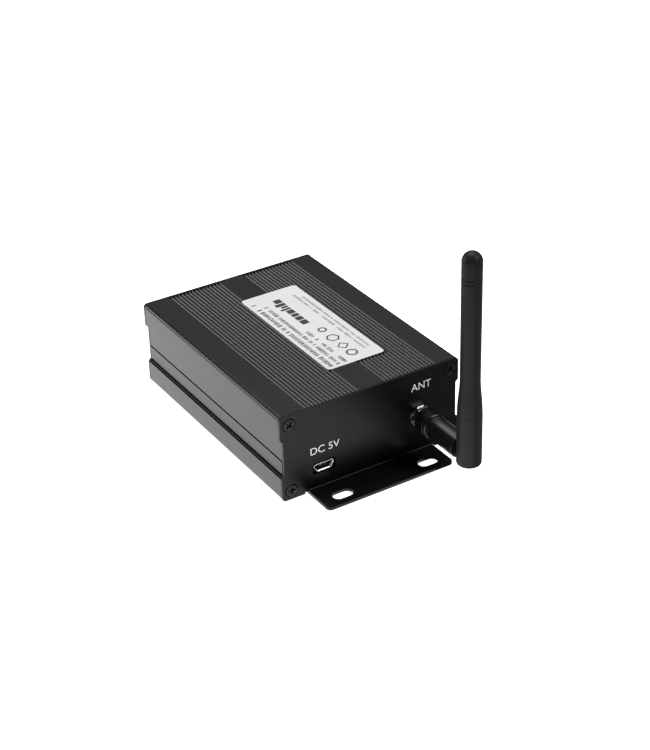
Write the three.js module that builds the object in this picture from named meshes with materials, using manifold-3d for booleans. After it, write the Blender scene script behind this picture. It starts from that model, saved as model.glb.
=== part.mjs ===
// Small wireless audio/lighting transceiver box with a swivelling stub antenna.
// Millimetres, +Z up. The origin is the centre of the case's underside, the antenna end faces -Y.

import * as THREE from 'three';
import { mergeVertices } from 'three/addons/utils/BufferGeometryUtils.js';
import Module from 'manifold-3d';

const wasm = await Module();
wasm.setup();

// ---------------------------------------------------------------- driving dimensions

const CASE = {
  width: 80,
  height: 36.4,
  length: 106, // the extrusion, without the end plates
  corner: 1.5,
  floor: 2.0,
  sideWall: 2.2,
  bandTop: 9.7, // height of the wide bottom band
  ledgeTop: 10.85, // where the 45 degree ledge meets the recess
  recess: 1.15, // depth of the side recess
  seamLeft: 17.1, // height of the joint between the two halves, on the -X side
  seamGap: 0.46,
  tongue: 1.1, // thickness of the interlocking tongue
  tongueSlack: 0.2,
};
// Two fine lines run along the ledge on one side: an undercut below the recess, and a notch behind the lip.
const LEDGE = { undercut: 38.3, wallEnd: 11.05, shelf: 10.3, shelfEnd: 39.3, notch: 9.6, notchEnd: 39.7, lip: 9.8 };
const RIBS = { count: 15, pitch: 1.61, first: 6.2, shift: 0.5, width: 1.4, floor: 0.2, depth: 0.55 };
const PLATE = { thickness: 1.2, reliefWidth: 1.2, reliefHeight: 0.8, bend: 0.4 };
const FLANGE = { left: -29, right: 27.8, depth: 14.75, corner: 2 };
const SLOT = { x: 19.4, out: 9.2, length: 8.6, width: 5 };
const PLATE_SCREW = { x: 36, z: 3.9, head: 2.6, shank: 1.45, length: 9, proud: 0.1, slack: 0.25 };
const BOSS = { radius: 2.4, bore: 1.75 };
const BOARD = { bottom: 6.35, thickness: 1.6, width: 75, front: -52.7, rear: 26 };
const LABEL = { left: -6.45, right: 19.45, front: -34.6, rear: 32.9, corner: 1.6, thickness: 0.15 };
const USB = { x: -21.55, bottom: 8, height: 2.8, topHalf: 4, bottomHalf: 2.7, wall: 0.36, length: 5.6 };
const USB_CUTOUT = { width: 10, bottom: 7.1, height: 4.7, corner: 0.8 };
const ANTENNA = { x: 22, z: 16.4, out: 32 }; // connector axis, and the tilt axis in front of the plate
const JACK = { thread: 3.1, reach: 7.1, block: 6.4 };
const PANEL_NUT = { across: 8, thickness: 2.2, washer: 0.5 };
const COLLAR = { radius: 5.1, start: 3.2, end: 10.3, bore: 3.5, neckBore: 2.7, lip: 1.6, flutes: 24 };
const BARREL = { radius: 4.73, start: 10.6, end: 26.9, tongueHalf: 1.9, tongueRadius: 3.6 };
const WHIP = {
  knuckle: 4.83,
  bottom: 12,
  joint: 34, // height where the soft sleeve meets the knuckle
  taperTop: 48.5,
  tipRadius: 3.85,
  top: 99.65,
  slotHalf: 2.1,
  slotReach: 3.9,
  swing: 4.6, // the lower rear of the knuckle is rounded about the pin to this radius
};
const PIN = { radius: 0.9, half: 3.8, clearance: 0.06 };
const SOCKET = { x: 19, z: 18.2, flangeWidth: 26, flangeHeight: 31, flangeThickness: 2, barrel: 11.7 };
const SOCKET_SCREW = { x: 9.5, z: 12, head: 2.5, shank: 1.4 };
const CONTACT = { circle: 3.57, pin: 1.2, hole: 1.5 };
const LATCH = { half: 3.6, low: 9.9, high: 12.2, slack: 0.3 };
const BUTTON = { x: 0, z: 24, bush: 2.9, plunger: 1.9, travel: 1 };
const LED = { x: 0, z: 12.5, lens: 1.5, bezel: 2.5, rim: 3.4 };

const FACE = CASE.length / 2 + PLATE.thickness; // outer face of each end plate, as a distance along Y
const INNER_FACE = CASE.length / 2;
const BOARD_TOP = BOARD.bottom + BOARD.thickness;
const RADIO = { width: 20, front: -47.2, rear: -15, thickness: 1 };

// ---------------------------------------------------------------- materials

function material(color, roughness, metalness) {
  return new THREE.MeshStandardMaterial({ color, roughness, metalness });
}

const looks = {
  anodised: () => material('#3a3b3d', 0.45, 0.6),
  coatedSheet: () => material('#1c1d1f', 0.5, 0.4),
  blackScrew: () => material('#232427', 0.4, 0.8),
  nickel: () => material('#c9cbcd', 0.25, 1),
  gold: () => material('#d2a64b', 0.3, 1),
  tin: () => material('#b9bcbf', 0.35, 1),
  blackPlastic: () => material('#1d1e1f', 0.35, 0),
  softSleeve: () => material('#2f3132', 0.6, 0),
  whitePlastic: () => material('#e9e7e0', 0.5, 0),
  paper: () => material('#f2f2f0', 0.6, 0),
  boardBlack: () => material('#16191a', 0.5, 0),
  boardBlue: () => material('#1c3f74', 0.5, 0),
  epoxy: () => material('#202122', 0.6, 0),
  ledLens: () => material('#7fd48a', 0.15, 0),
  copper: () => material('#b4703a', 0.4, 1),
  greyWire: () => material('#8d9093', 0.6, 0),
};

// ---------------------------------------------------------------- helpers

const object = new THREE.Group();

function asSolid(geometry) {
  const bare = geometry.index ? geometry.toNonIndexed() : geometry.clone();
  bare.deleteAttribute('normal');
  bare.deleteAttribute('uv');
  const merged = mergeVertices(bare, 1e-5);
  const mesh = new wasm.Mesh({
    numProp: 3,
    vertProperties: new Float32Array(merged.attributes.position.array),
    triVerts: new Uint32Array(merged.index.array),
  });
  mesh.merge();
  return new wasm.Manifold(mesh);
}

function asGeometry(solid) {
  const mesh = solid.getMesh();
  const geometry = new THREE.BufferGeometry();
  geometry.setAttribute('position', new THREE.BufferAttribute(mesh.vertProperties, 3));
  geometry.setIndex(new THREE.BufferAttribute(mesh.triVerts, 1));
  geometry.computeVertexNormals();
  return geometry;
}

function addPart(name, solid, look) {
  const mesh = new THREE.Mesh(asGeometry(solid), look());
  mesh.name = name;
  object.add(mesh);
}

function join(...solids) {
  return solids.reduce((whole, piece) => whole.add(piece));
}

function cut(solid, ...tools) {
  return tools.reduce((rest, tool) => rest.subtract(tool), solid);
}

// A flat outline drawn in X and Z, extruded along Y from yLow to yHigh.
function prismY(shape, yLow, yHigh, curveSegments = 8) {
  const options = { depth: yHigh - yLow, bevelEnabled: false, curveSegments };
  const geometry = new THREE.ExtrudeGeometry(shape, options);
  geometry.rotateX(Math.PI / 2);
  geometry.translate(0, yHigh, 0);
  return asSolid(geometry);
}

// A flat outline drawn in X and Y, extruded up from zLow to zHigh.
function prismZ(shape, zLow, zHigh, curveSegments = 8) {
  const options = { depth: zHigh - zLow, bevelEnabled: false, curveSegments };
  const geometry = new THREE.ExtrudeGeometry(shape, options);
  geometry.translate(0, 0, zLow);
  return asSolid(geometry);
}

function box(xLow, xHigh, yLow, yHigh, zLow, zHigh) {
  const geometry = new THREE.BoxGeometry(xHigh - xLow, yHigh - yLow, zHigh - zLow);
  geometry.translate((xLow + xHigh) / 2, (yLow + yHigh) / 2, (zLow + zHigh) / 2);
  return asSolid(geometry);
}

// A turned piece about an axis parallel to Y: the profile is [radius, y] from the low end up.
function turnedY(profile, x, z, segments = 24) {
  const points = profile.map(([radius, y]) => new THREE.Vector2(radius, y));
  const geometry = new THREE.LatheGeometry(points, segments);
  geometry.translate(x, 0, z);
  return asSolid(geometry);
}

// The same about an axis parallel to Z: the profile is [radius, z].
function turnedZ(profile, x, y, segments = 24) {
  const points = profile.map(([radius, height]) => new THREE.Vector2(radius, height));
  const geometry = new THREE.LatheGeometry(points, segments);
  geometry.rotateX(Math.PI / 2);
  geometry.translate(x, y, 0);
  return asSolid(geometry);
}

function rodY(radius, yLow, yHigh, x, z, segments = 24) {
  return turnedY([[0, yLow], [radius, yLow], [radius, yHigh], [0, yHigh]], x, z, segments);
}

function rodZ(radius, zLow, zHigh, x, y, segments = 24) {
  return turnedZ([[0, zLow], [radius, zLow], [radius, zHigh], [0, zHigh]], x, y, segments);
}

function rodX(radius, xLow, xHigh, y, z, segments = 24) {
  const geometry = new THREE.CylinderGeometry(radius, radius, xHigh - xLow, segments);
  geometry.rotateZ(Math.PI / 2);
  geometry.translate((xLow + xHigh) / 2, y, z);
  return asSolid(geometry);
}

function arc(centreX, centreZ, radius, fromDegrees, toDegrees, steps = 5) {
  const points = [];
  for (let i = 0; i <= steps; i += 1) {
    const angle = THREE.MathUtils.degToRad(fromDegrees + ((toDegrees - fromDegrees) * i) / steps);
    points.push([centreX + radius * Math.cos(angle), centreZ + radius * Math.sin(angle)]);
  }
  return points;
}

function outline(points) {
  return new THREE.Shape(points.map(([x, y]) => new THREE.Vector2(x, y)));
}

function roundedRectangle(xLow, xHigh, yLow, yHigh, radius) {
  return outline([
    ...arc(xHigh - radius, yLow + radius, radius, -90, 0),
    ...arc(xHigh - radius, yHigh - radius, radius, 0, 90),
    ...arc(xLow + radius, yHigh - radius, radius, 90, 180),
    ...arc(xLow + radius, yLow + radius, radius, 180, 270),
  ]);
}

function slotOutline(x, y, length, width) {
  const radius = width / 2;
  const straight = length / 2 - radius;
  return outline([
    ...arc(x + straight, y, radius, -90, 90, 10),
    ...arc(x - straight, y, radius, 90, 270, 10),
  ]);
}

function hexagon(x, z, acrossFlats) {
  return outline(arc(x, z, acrossFlats / Math.sqrt(3), 0, 300, 5));
}

// A countersunk screw that points along +Y or -Y, with a cross recess in its flat head.
function countersunkScrew(x, z, faceY, inward, size) {
  const seat = size.head - size.shank;
  const profile = [
    [0, -size.length],
    [size.shank, -size.length],
    [size.shank, -seat - size.proud],
    [size.head, -size.proud],
    [size.head, 0],
    [0, 0],
  ];
  const arm = size.head * 0.55;
  const recess = 1.1;
  let screw = turnedY(profile, 0, 0, 24);
  screw = cut(screw, box(-arm, arm, -recess, 1, -0.35, 0.35), box(-0.35, 0.35, -recess, 1, -arm, arm));
  if (inward > 0) screw = screw.rotate([180, 0, 0]);
  return screw.translate([x, faceY, z]);
}

// ---------------------------------------------------------------- case

const HALF_WIDTH = CASE.width / 2;
const RECESSED = HALF_WIDTH - CASE.recess;
const INNER = RECESSED - 2.25;
const SEAM_RIGHT = CASE.height - CASE.seamLeft;

function ribGrooves(shift) {
  const centres = [];
  for (let i = 0; i < RIBS.count; i += 1) {
    centres.push(shift - RIBS.first - i * RIBS.pitch, shift + RIBS.first + i * RIBS.pitch);
  }
  centres.sort((a, b) => a - b);
  return centres.flatMap((centre) => [
    [centre - RIBS.width / 2, 0],
    [centre - RIBS.floor / 2, RIBS.depth],
    [centre + RIBS.floor / 2, RIBS.depth],
    [centre + RIBS.width / 2, 0],
  ]);
}

// Section of one half of the case, the lower one. The upper half is the same piece turned over.
function halfSection() {
  const halfGap = CASE.seamGap / 2;
  const wallFace = HALF_WIDTH - CASE.sideWall;
  const cardTop = BOARD_TOP + 0.2;
  const bossTop = PLATE_SCREW.z + BOSS.radius;
  const bossSide = PLATE_SCREW.x - BOSS.radius;
  const tongueFace = INNER + CASE.tongue;
  const rebateFace = tongueFace + CASE.tongueSlack;
  return outline([
    [-RECESSED, CASE.seamLeft - halfGap],
    [-RECESSED, LEDGE.wallEnd],
    [-LEDGE.undercut, LEDGE.wallEnd],
    [-LEDGE.undercut, LEDGE.shelf],
    [-LEDGE.shelfEnd, LEDGE.shelf],
    [-LEDGE.shelfEnd - 0.1, LEDGE.notch],
    [-LEDGE.notchEnd, LEDGE.notch],
    [-LEDGE.notchEnd - 0.06, LEDGE.lip],
    [-HALF_WIDTH, CASE.bandTop],
    ...arc(-HALF_WIDTH + CASE.corner, CASE.corner, CASE.corner, 180, 270),
    ...ribGrooves(-RIBS.shift),
    ...arc(HALF_WIDTH - CASE.corner, CASE.corner, CASE.corner, -90, 0),
    [HALF_WIDTH, CASE.bandTop],
    [RECESSED, CASE.ledgeTop],
    [RECESSED, SEAM_RIGHT - halfGap],
    [rebateFace, SEAM_RIGHT - halfGap],
    [rebateFace, CASE.seamLeft],
    [INNER, CASE.seamLeft],
    [INNER, cardTop],
    [wallFace, cardTop],
    [wallFace, bossTop],
    ...arc(PLATE_SCREW.x, PLATE_SCREW.z, BOSS.radius, 90, 180),
    [bossSide, CASE.floor],
    [-bossSide, CASE.floor],
    ...arc(-PLATE_SCREW.x, PLATE_SCREW.z, BOSS.radius, 0, 90),
    [-wallFace, bossTop],
    [-wallFace, cardTop],
    [-INNER, cardTop],
    [-INNER, SEAM_RIGHT],
    [-tongueFace, SEAM_RIGHT],
    [-tongueFace, CASE.seamLeft - halfGap],
  ]);
}

function buildCase() {
  const bores = [-PLATE_SCREW.x, PLATE_SCREW.x].map((x) => (
    rodY(BOSS.bore, -INNER_FACE - 1, INNER_FACE + 1, x, PLATE_SCREW.z, 16)
  ));
  // The recess wall of each half stops a little short of the antenna end.
  const shortEnd = box(
    -HALF_WIDTH,
    -INNER - CASE.tongue,
    -INNER_FACE - 1,
    -INNER_FACE + 0.5,
    CASE.ledgeTop - 0.4,
    CASE.seamLeft,
  );
  const lower = cut(prismY(halfSection(), -INNER_FACE, INNER_FACE), ...bores, shortEnd);
  addPart('lower_shell', lower, looks.anodised);
  addPart('upper_shell', lower.rotate([0, 180, 0]).translate([0, 0, CASE.height]), looks.anodised);
}

function caseOutline() {
  const side = [
    [HALF_WIDTH, CASE.bandTop],
    [RECESSED, CASE.ledgeTop],
    [RECESSED, CASE.height - CASE.ledgeTop],
    [HALF_WIDTH, CASE.height - CASE.bandTop],
  ];
  return outline([
    ...arc(HALF_WIDTH - CASE.corner, CASE.corner, CASE.corner, -90, 0),
    ...side,
    ...arc(HALF_WIDTH - CASE.corner, CASE.height - CASE.corner, CASE.corner, 0, 90),
    ...arc(-HALF_WIDTH + CASE.corner, CASE.height - CASE.corner, CASE.corner, 90, 180),
    ...side.reverse().map(([x, z]) => [-x, z]),
    ...arc(-HALF_WIDTH + CASE.corner, CASE.corner, CASE.corner, 180, 270),
  ]);
}

function plateScrewPlaces() {
  const high = CASE.height - PLATE_SCREW.z;
  return [
    [-PLATE_SCREW.x, high],
    [-PLATE_SCREW.x, PLATE_SCREW.z],
    [PLATE_SCREW.x, high],
    [PLATE_SCREW.x, PLATE_SCREW.z],
  ];
}

// One folded end plate, made for the -Y end: a sheet with a slotted foot folded outward.
function foldedPlate() {
  const foot = cut(
    prismZ(
      outline([
        [FLANGE.left, -INNER_FACE],
        ...arc(FLANGE.left + FLANGE.corner, -FACE - FLANGE.depth + FLANGE.corner, FLANGE.corner, 180, 270),
        ...arc(FLANGE.right - FLANGE.corner, -FACE - FLANGE.depth + FLANGE.corner, FLANGE.corner, -90, 0),
        [FLANGE.right, -INNER_FACE],
      ]),
      0,
      PLATE.thickness,
    ),
    ...[-SLOT.x, SLOT.x].map((x) => (
      prismZ(slotOutline(x, -FACE - SLOT.out, SLOT.length, SLOT.width), -1, PLATE.thickness + 1)
    )),
  );
  const fillet = box(
    FLANGE.left,
    FLANGE.right,
    -FACE - PLATE.bend,
    -FACE + 0.1,
    PLATE.thickness - 0.1,
    PLATE.thickness + PLATE.bend,
  );
  const filletCut = rodX(
    PLATE.bend,
    FLANGE.left - 1,
    FLANGE.right + 1,
    -FACE - PLATE.bend,
    PLATE.thickness + PLATE.bend,
    16,
  );
  const reliefs = [
    [FLANGE.left - PLATE.reliefWidth, FLANGE.left],
    [FLANGE.right, FLANGE.right + PLATE.reliefWidth],
  ].map(([low, high]) => box(low, high, -FACE - 1, -INNER_FACE + 1, -1, PLATE.reliefHeight));
  const tapered = plateScrewPlaces().map(([x, z]) => {
    const wide = PLATE_SCREW.head + PLATE_SCREW.slack;
    const narrow = wide - PLATE.thickness;
    return turnedY(
      [[0, -FACE - 0.01], [wide, -FACE - 0.01], [narrow, -INNER_FACE + 0.01], [0, -INNER_FACE + 0.01]],
      x,
      z,
      24,
    );
  });
  const sheet = prismY(caseOutline(), -FACE, -INNER_FACE);
  return cut(join(sheet, foot, cut(fillet, filletCut)), ...reliefs, ...tapered);
}

function buildPlates() {
  const usbHole = roundedRectangle(
    USB.x - USB_CUTOUT.width / 2,
    USB.x + USB_CUTOUT.width / 2,
    USB_CUTOUT.bottom,
    USB_CUTOUT.bottom + USB_CUTOUT.height,
    USB_CUTOUT.corner,
  );
  const front = cut(
    foldedPlate(),
    prismY(usbHole, -FACE - 1, -INNER_FACE + 1),
    rodY(JACK.thread + 0.2, -FACE - 1, -INNER_FACE + 1, ANTENNA.x, ANTENNA.z, 32),
  );
  addPart('front_plate', front, looks.coatedSheet);

  const rear = cut(
    foldedPlate().mirror([0, 1, 0]),
    ...[-SOCKET.x, SOCKET.x].map((x) => (
      rodY(SOCKET.barrel + 0.3, INNER_FACE - 1, FACE + 1, x, SOCKET.z, 40)
    )),
    ...socketScrewPlaces().map(([x, z]) => (
      rodY(SOCKET_SCREW.shank + 0.3, INNER_FACE - 1, FACE + 1, x, z, 16)
    )),
    latchChannel(INNER_FACE - 1, FACE + 1),
    rodY(BUTTON.bush + 0.3, INNER_FACE - 1, FACE + 1, BUTTON.x, BUTTON.z, 24),
    rodY(LED.bezel + 0.3, INNER_FACE - 1, FACE + 1, LED.x, LED.z, 24),
  );
  addPart('rear_plate', rear, looks.coatedSheet);

  plateScrewPlaces().forEach(([x, z], i) => {
    const frontFace = -FACE - PLATE_SCREW.proud;
    const rearFace = FACE + PLATE_SCREW.proud;
    addPart(`front_screw_${i + 1}`, countersunkScrew(x, z, frontFace, 1, PLATE_SCREW), looks.blackScrew);
    addPart(`rear_screw_${i + 1}`, countersunkScrew(x, z, rearFace, -1, PLATE_SCREW), looks.blackScrew);
  });
}

function buildLabel() {
  const shape = roundedRectangle(LABEL.left, LABEL.right, LABEL.front, LABEL.rear, LABEL.corner);
  addPart('top_label', prismZ(shape, CASE.height, CASE.height + LABEL.thickness), looks.paper);
}

// ---------------------------------------------------------------- main board

function chip(xLow, yLow, width, length, height) {
  return box(xLow, xLow + width, yLow, yLow + length, BOARD_TOP + 0.05, BOARD_TOP + 0.05 + height);
}

function usbOutline(shrink) {
  const top = USB.topHalf - shrink;
  const bottom = USB.bottomHalf - shrink * 0.6;
  const low = USB.bottom + shrink;
  const high = USB.bottom + USB.height - shrink;
  const shoulder = high - USB.height * 0.36;
  return outline([
    [USB.x - bottom, low],
    [USB.x + bottom, low],
    [USB.x + top, shoulder],
    [USB.x + top, high],
    [USB.x - top, high],
    [USB.x - top, shoulder],
  ]);
}

function buildMainBoard() {
  const boardShape = roundedRectangle(-BOARD.width / 2, BOARD.width / 2, BOARD.front, BOARD.rear, 0.8);
  const holes = [-30, 30].map((x) => rodZ(1.6, BOARD.bottom - 1, BOARD_TOP + 1, x, BOARD.rear - 6, 20));
  const board = cut(prismZ(boardShape, BOARD.bottom, BOARD_TOP), ...holes);
  addPart('circuit_board', board, looks.boardBlack);

  const mouth = -FACE + 0.2;
  const back = mouth + USB.length;
  const shell = cut(prismY(usbOutline(0), mouth, back), prismY(usbOutline(USB.wall), mouth - 1, back + 1));
  addPart('usb_shell', shell, looks.nickel);
  const plug = join(
    prismY(usbOutline(USB.wall + 0.1), back - 1.4, back - 0.1),
    box(USB.x - 2, USB.x + 2, mouth + 0.6, back - 1.2, USB.bottom + 1.45, USB.bottom + 2.05),
  );
  addPart('usb_insert', plug, looks.blackPlastic);

  addPart('microcontroller', chip(-6, -20, 9, 9, 1.2), looks.epoxy);
  addPart('line_driver', chip(-20, 2, 5, 4, 1.5), looks.epoxy);
  addPart('voltage_regulator', chip(-24, -38, 6.5, 3.5, 1.6), looks.epoxy);
  const crystalShape = slotOutline(-16, -16, 11, 4.4);
  addPart('crystal', prismZ(crystalShape, BOARD_TOP + 0.05, BOARD_TOP + 3.5), looks.tin);
  const can = turnedZ(
    [
      [0, BOARD_TOP + 0.05],
      [3.15, BOARD_TOP + 0.05],
      [3.15, BOARD_TOP + 1.6],
      [2.95, BOARD_TOP + 1.9],
      [3.15, BOARD_TOP + 2.2],
      [3.15, BOARD_TOP + 7.4],
      [2.8, BOARD_TOP + 7.7],
      [0, BOARD_TOP + 7.7],
    ],
    -12,
    -38,
    20,
  );
  addPart('capacitor', can, looks.tin);
}

// The radio stands on its own small board, level with the antenna connector.
function buildRadio() {
  const top = ANTENNA.z + RADIO.thickness / 2;
  const bottom = ANTENNA.z - RADIO.thickness / 2;
  const left = ANTENNA.x - RADIO.width / 2;
  const right = ANTENNA.x + RADIO.width / 2;
  addPart('radio_board', box(left, right, RADIO.front, RADIO.rear, bottom, top), looks.boardBlue);
  const can = cut(
    box(left + 2, right - 2, -40, -22, top + 0.05, top + 2.6),
    box(left + 2.3, right - 2.3, -39.7, -22.3, top, top + 2.3),
  );
  addPart('radio_shield', can, looks.tin);
  const header = box(ANTENNA.x - 5.1, ANTENNA.x + 5.1, -21, -16, BOARD_TOP + 0.05, bottom - 0.05);
  addPart('radio_header', header, looks.blackPlastic);
}

// ---------------------------------------------------------------- antenna connector

function buildJack() {
  const half = JACK.block / 2;
  const blockBack = -INNER_FACE + 4.6;
  const tip = -FACE - JACK.reach;
  const block = box(
    ANTENNA.x - half,
    ANTENNA.x + half,
    -INNER_FACE + 0.05,
    blockBack,
    ANTENNA.z - half,
    ANTENNA.z + half,
  );
  const thread = turnedY(
    [[0, tip], [JACK.thread - 0.4, tip], [JACK.thread, tip + 0.5], [JACK.thread, blockBack - 1], [0, blockBack - 1]],
    ANTENNA.x,
    ANTENNA.z,
    24,
  );
  const prongs = [-1, 1].flatMap((side) => [-1, 1].map((level) => {
    const x = ANTENNA.x + side * 2.6;
    const z = ANTENNA.z + level * (RADIO.thickness / 2 + 0.6);
    return box(x - 0.5, x + 0.5, blockBack - 1, blockBack + 3, z - 0.5, z + 0.5);
  }));
  const core = rodY(2.35, tip - 1, blockBack + 1, ANTENNA.x, ANTENNA.z, 24);
  addPart('antenna_jack', cut(join(block, thread, ...prongs), core), looks.gold);

  const bead = turnedY(
    [[0.75, tip + 2], [2.1, tip + 2], [2.1, blockBack - 0.2], [0.75, blockBack - 0.2], [0.75, tip + 2]],
    ANTENNA.x,
    ANTENNA.z,
    20,
  );
  addPart('jack_insulator', bead, looks.whitePlastic);
  const contact = rodY(0.6, tip + 2.1, blockBack + 1, ANTENNA.x, ANTENNA.z, 12);
  addPart('jack_contact', contact, looks.gold);

  const washer = turnedY(
    [
      [JACK.thread + 0.3, -FACE - PANEL_NUT.washer],
      [4.4, -FACE - PANEL_NUT.washer],
      [4.4, -FACE - 0.05],
      [JACK.thread + 0.3, -FACE - 0.05],
      [JACK.thread + 0.3, -FACE - PANEL_NUT.washer],
    ],
    ANTENNA.x,
    ANTENNA.z,
    24,
  );
  addPart('lock_washer', washer, looks.nickel);
  const nutBack = -FACE - PANEL_NUT.washer - 0.05;
  const nut = cut(
    prismY(hexagon(ANTENNA.x, ANTENNA.z, PANEL_NUT.across), nutBack - PANEL_NUT.thickness, nutBack),
    rodY(JACK.thread + 0.3, nutBack - 4, nutBack + 1, ANTENNA.x, ANTENNA.z, 24),
  );
  addPart('panel_nut', nut, looks.nickel);
}

// ---------------------------------------------------------------- antenna

function buildCollar() {
  const near = -FACE - COLLAR.start;
  const far = -FACE - COLLAR.end;
  const body = turnedY(
    [
      [0, far],
      [COLLAR.radius - 0.3, far],
      [COLLAR.radius, far + 0.4],
      [COLLAR.radius, near - 0.4],
      [COLLAR.radius - 0.3, near],
      [0, near],
    ],
    ANTENNA.x,
    ANTENNA.z,
    COLLAR.flutes * 2,
  );
  const collar = cut(
    body,
    rodY(COLLAR.neckBore, far - 1, near + 1, ANTENNA.x, ANTENNA.z, 24),
    rodY(COLLAR.bore, far + COLLAR.lip, near + 1, ANTENNA.x, ANTENNA.z, 24),
  );
  addPart('coupling_nut', collar, looks.blackPlastic);
}

function buildBarrel() {
  const near = -FACE - BARREL.start;
  const far = -FACE - BARREL.end;
  const pivot = -FACE - ANTENNA.out;
  const lipInner = -FACE - COLLAR.end + COLLAR.lip;
  const ferrule = turnedY(
    [
      [0, near - 4],
      [2.2, near - 4],
      [2.2, lipInner + 0.15],
      [3.1, lipInner + 0.15],
      [3.1, lipInner + 0.75],
      [0, lipInner + 0.75],
    ],
    ANTENNA.x,
    ANTENNA.z,
    20,
  );
  addPart('antenna_ferrule', ferrule, looks.nickel);

  const body = turnedY(
    [
      [0, far],
      [BARREL.radius - 0.3, far],
      [BARREL.radius, far + 0.3],
      [BARREL.radius, near - 1.1],
      [BARREL.radius - 0.2, near - 0.9],
      [BARREL.radius - 0.2, near - 0.6],
      [BARREL.radius, near - 0.4],
      [BARREL.radius, near - 0.1],
      [BARREL.radius - 0.1, near],
      [0, near],
    ],
    ANTENNA.x,
    ANTENNA.z,
    40,
  );
  const tongueShape = outline([
    [far + 1, ANTENNA.z - BARREL.tongueRadius],
    [far + 1, ANTENNA.z + BARREL.tongueRadius],
    ...arc(pivot, ANTENNA.z, BARREL.tongueRadius, 90, 270, 14),
  ]);
  const tongueOptions = { depth: 2 * BARREL.tongueHalf, bevelEnabled: false };
  const tongueGeometry = new THREE.ExtrudeGeometry(tongueShape, tongueOptions);
  // The outline is drawn in Y and Z: this turns it so that it is extruded along X.
  tongueGeometry.applyMatrix4(new THREE.Matrix4().set(
    0, 0, 1, ANTENNA.x - BARREL.tongueHalf,
    1, 0, 0, 0,
    0, 1, 0, 0,
    0, 0, 0, 1,
  ));
  const barrel = cut(
    join(body, asSolid(tongueGeometry)),
    rodY(2.5, near - 4.3, near + 1, ANTENNA.x, ANTENNA.z, 20),
    rodX(PIN.radius + PIN.clearance, ANTENNA.x - 3, ANTENNA.x + 3, pivot, ANTENNA.z, 24),
  );
  addPart('antenna_barrel', barrel, looks.blackPlastic);
  const pin = rodX(PIN.radius, ANTENNA.x - PIN.half, ANTENNA.x + PIN.half, pivot, ANTENNA.z, 24);
  addPart('hinge_pin', pin, looks.nickel);
}

function buildWhip() {
  const pivot = -FACE - ANTENNA.out;
  const spigotTop = WHIP.joint + 9;
  const column = turnedZ(
    [
      [0, WHIP.bottom],
      [WHIP.knuckle - 0.9, WHIP.bottom],
      [WHIP.knuckle - 0.25, WHIP.bottom + 0.3],
      [WHIP.knuckle, WHIP.bottom + 1],
      [WHIP.knuckle, WHIP.joint - 3],
      [WHIP.knuckle - 0.15, WHIP.joint - 2.8],
      [WHIP.knuckle - 0.15, WHIP.joint],
      [2.6, WHIP.joint],
      [2.6, spigotTop],
      [0, spigotTop],
    ],
    ANTENNA.x,
    pivot,
    36,
  );
  const slot = box(
    ANTENNA.x - WHIP.slotHalf,
    ANTENNA.x + WHIP.slotHalf,
    pivot - WHIP.slotReach,
    pivot + WHIP.knuckle + 1,
    WHIP.bottom - 1,
    ANTENNA.z + WHIP.slotReach,
  );
  // The heel is what would strike the barrel when the whip swings out straight.
  const heel = cut(
    box(ANTENNA.x - 6, ANTENNA.x + 6, pivot, pivot + 7, WHIP.bottom - 1, ANTENNA.z),
    rodX(WHIP.swing, ANTENNA.x - 7, ANTENNA.x + 7, pivot, ANTENNA.z, 48),
  );
  const pinHole = rodX(
    PIN.radius + PIN.clearance,
    ANTENNA.x - PIN.half - 0.1,
    ANTENNA.x + PIN.half + 0.1,
    pivot,
    ANTENNA.z,
    24,
  );
  addPart('antenna_knuckle', cut(column, slot, heel, pinHole), looks.blackPlastic);

  const centre = WHIP.top - WHIP.tipRadius;
  const groove = (height) => [
    [WHIP.tipRadius, height - 0.35],
    [WHIP.tipRadius - 0.25, height - 0.15],
    [WHIP.tipRadius - 0.25, height + 0.15],
    [WHIP.tipRadius, height + 0.35],
  ];
  const flare = [];
  const steps = 6;
  for (let i = 0; i <= steps; i += 1) {
    const t = i / steps;
    const ease = t * t * (3 - 2 * t);
    flare.push([
      THREE.MathUtils.lerp(WHIP.knuckle - 0.1, WHIP.tipRadius, ease),
      THREE.MathUtils.lerp(WHIP.joint + 0.6, WHIP.taperTop, t),
    ]);
  }
  const skin = turnedZ(
    [
      [0, WHIP.joint + 0.15],
      [WHIP.knuckle - 0.3, WHIP.joint + 0.15],
      ...flare,
      ...groove(88),
      ...groove(89.5),
      ...arc(0, centre, WHIP.tipRadius, 0, 90, 7).slice(0, -1),
      [0, WHIP.top],
    ],
    ANTENNA.x,
    pivot,
    32,
  );
  const bore = join(
    rodZ(2.9, WHIP.joint - 1, spigotTop + 0.3, ANTENNA.x, pivot, 20),
    rodZ(2.2, WHIP.joint - 1, 93, ANTENNA.x, pivot, 20),
  );
  addPart('antenna_sleeve', cut(skin, bore), looks.softSleeve);
  const element = rodZ(1.9, spigotTop + 0.1, 92.7, ANTENNA.x, pivot, 16);
  addPart('antenna_element', element, looks.copper);
}

// ---------------------------------------------------------------- rear sockets

function socketScrewPlaces() {
  return [-SOCKET.x, SOCKET.x].flatMap((centre) => [-1, 1].map((side) => (
    [centre + side * SOCKET_SCREW.x, SOCKET.z - side * SOCKET_SCREW.z]
  )));
}

function contactPlaces(centre) {
  return [150, 30, 270].map((degrees) => {
    const angle = THREE.MathUtils.degToRad(degrees);
    return [centre + CONTACT.circle * Math.cos(angle), SOCKET.z + CONTACT.circle * Math.sin(angle)];
  });
}

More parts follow.
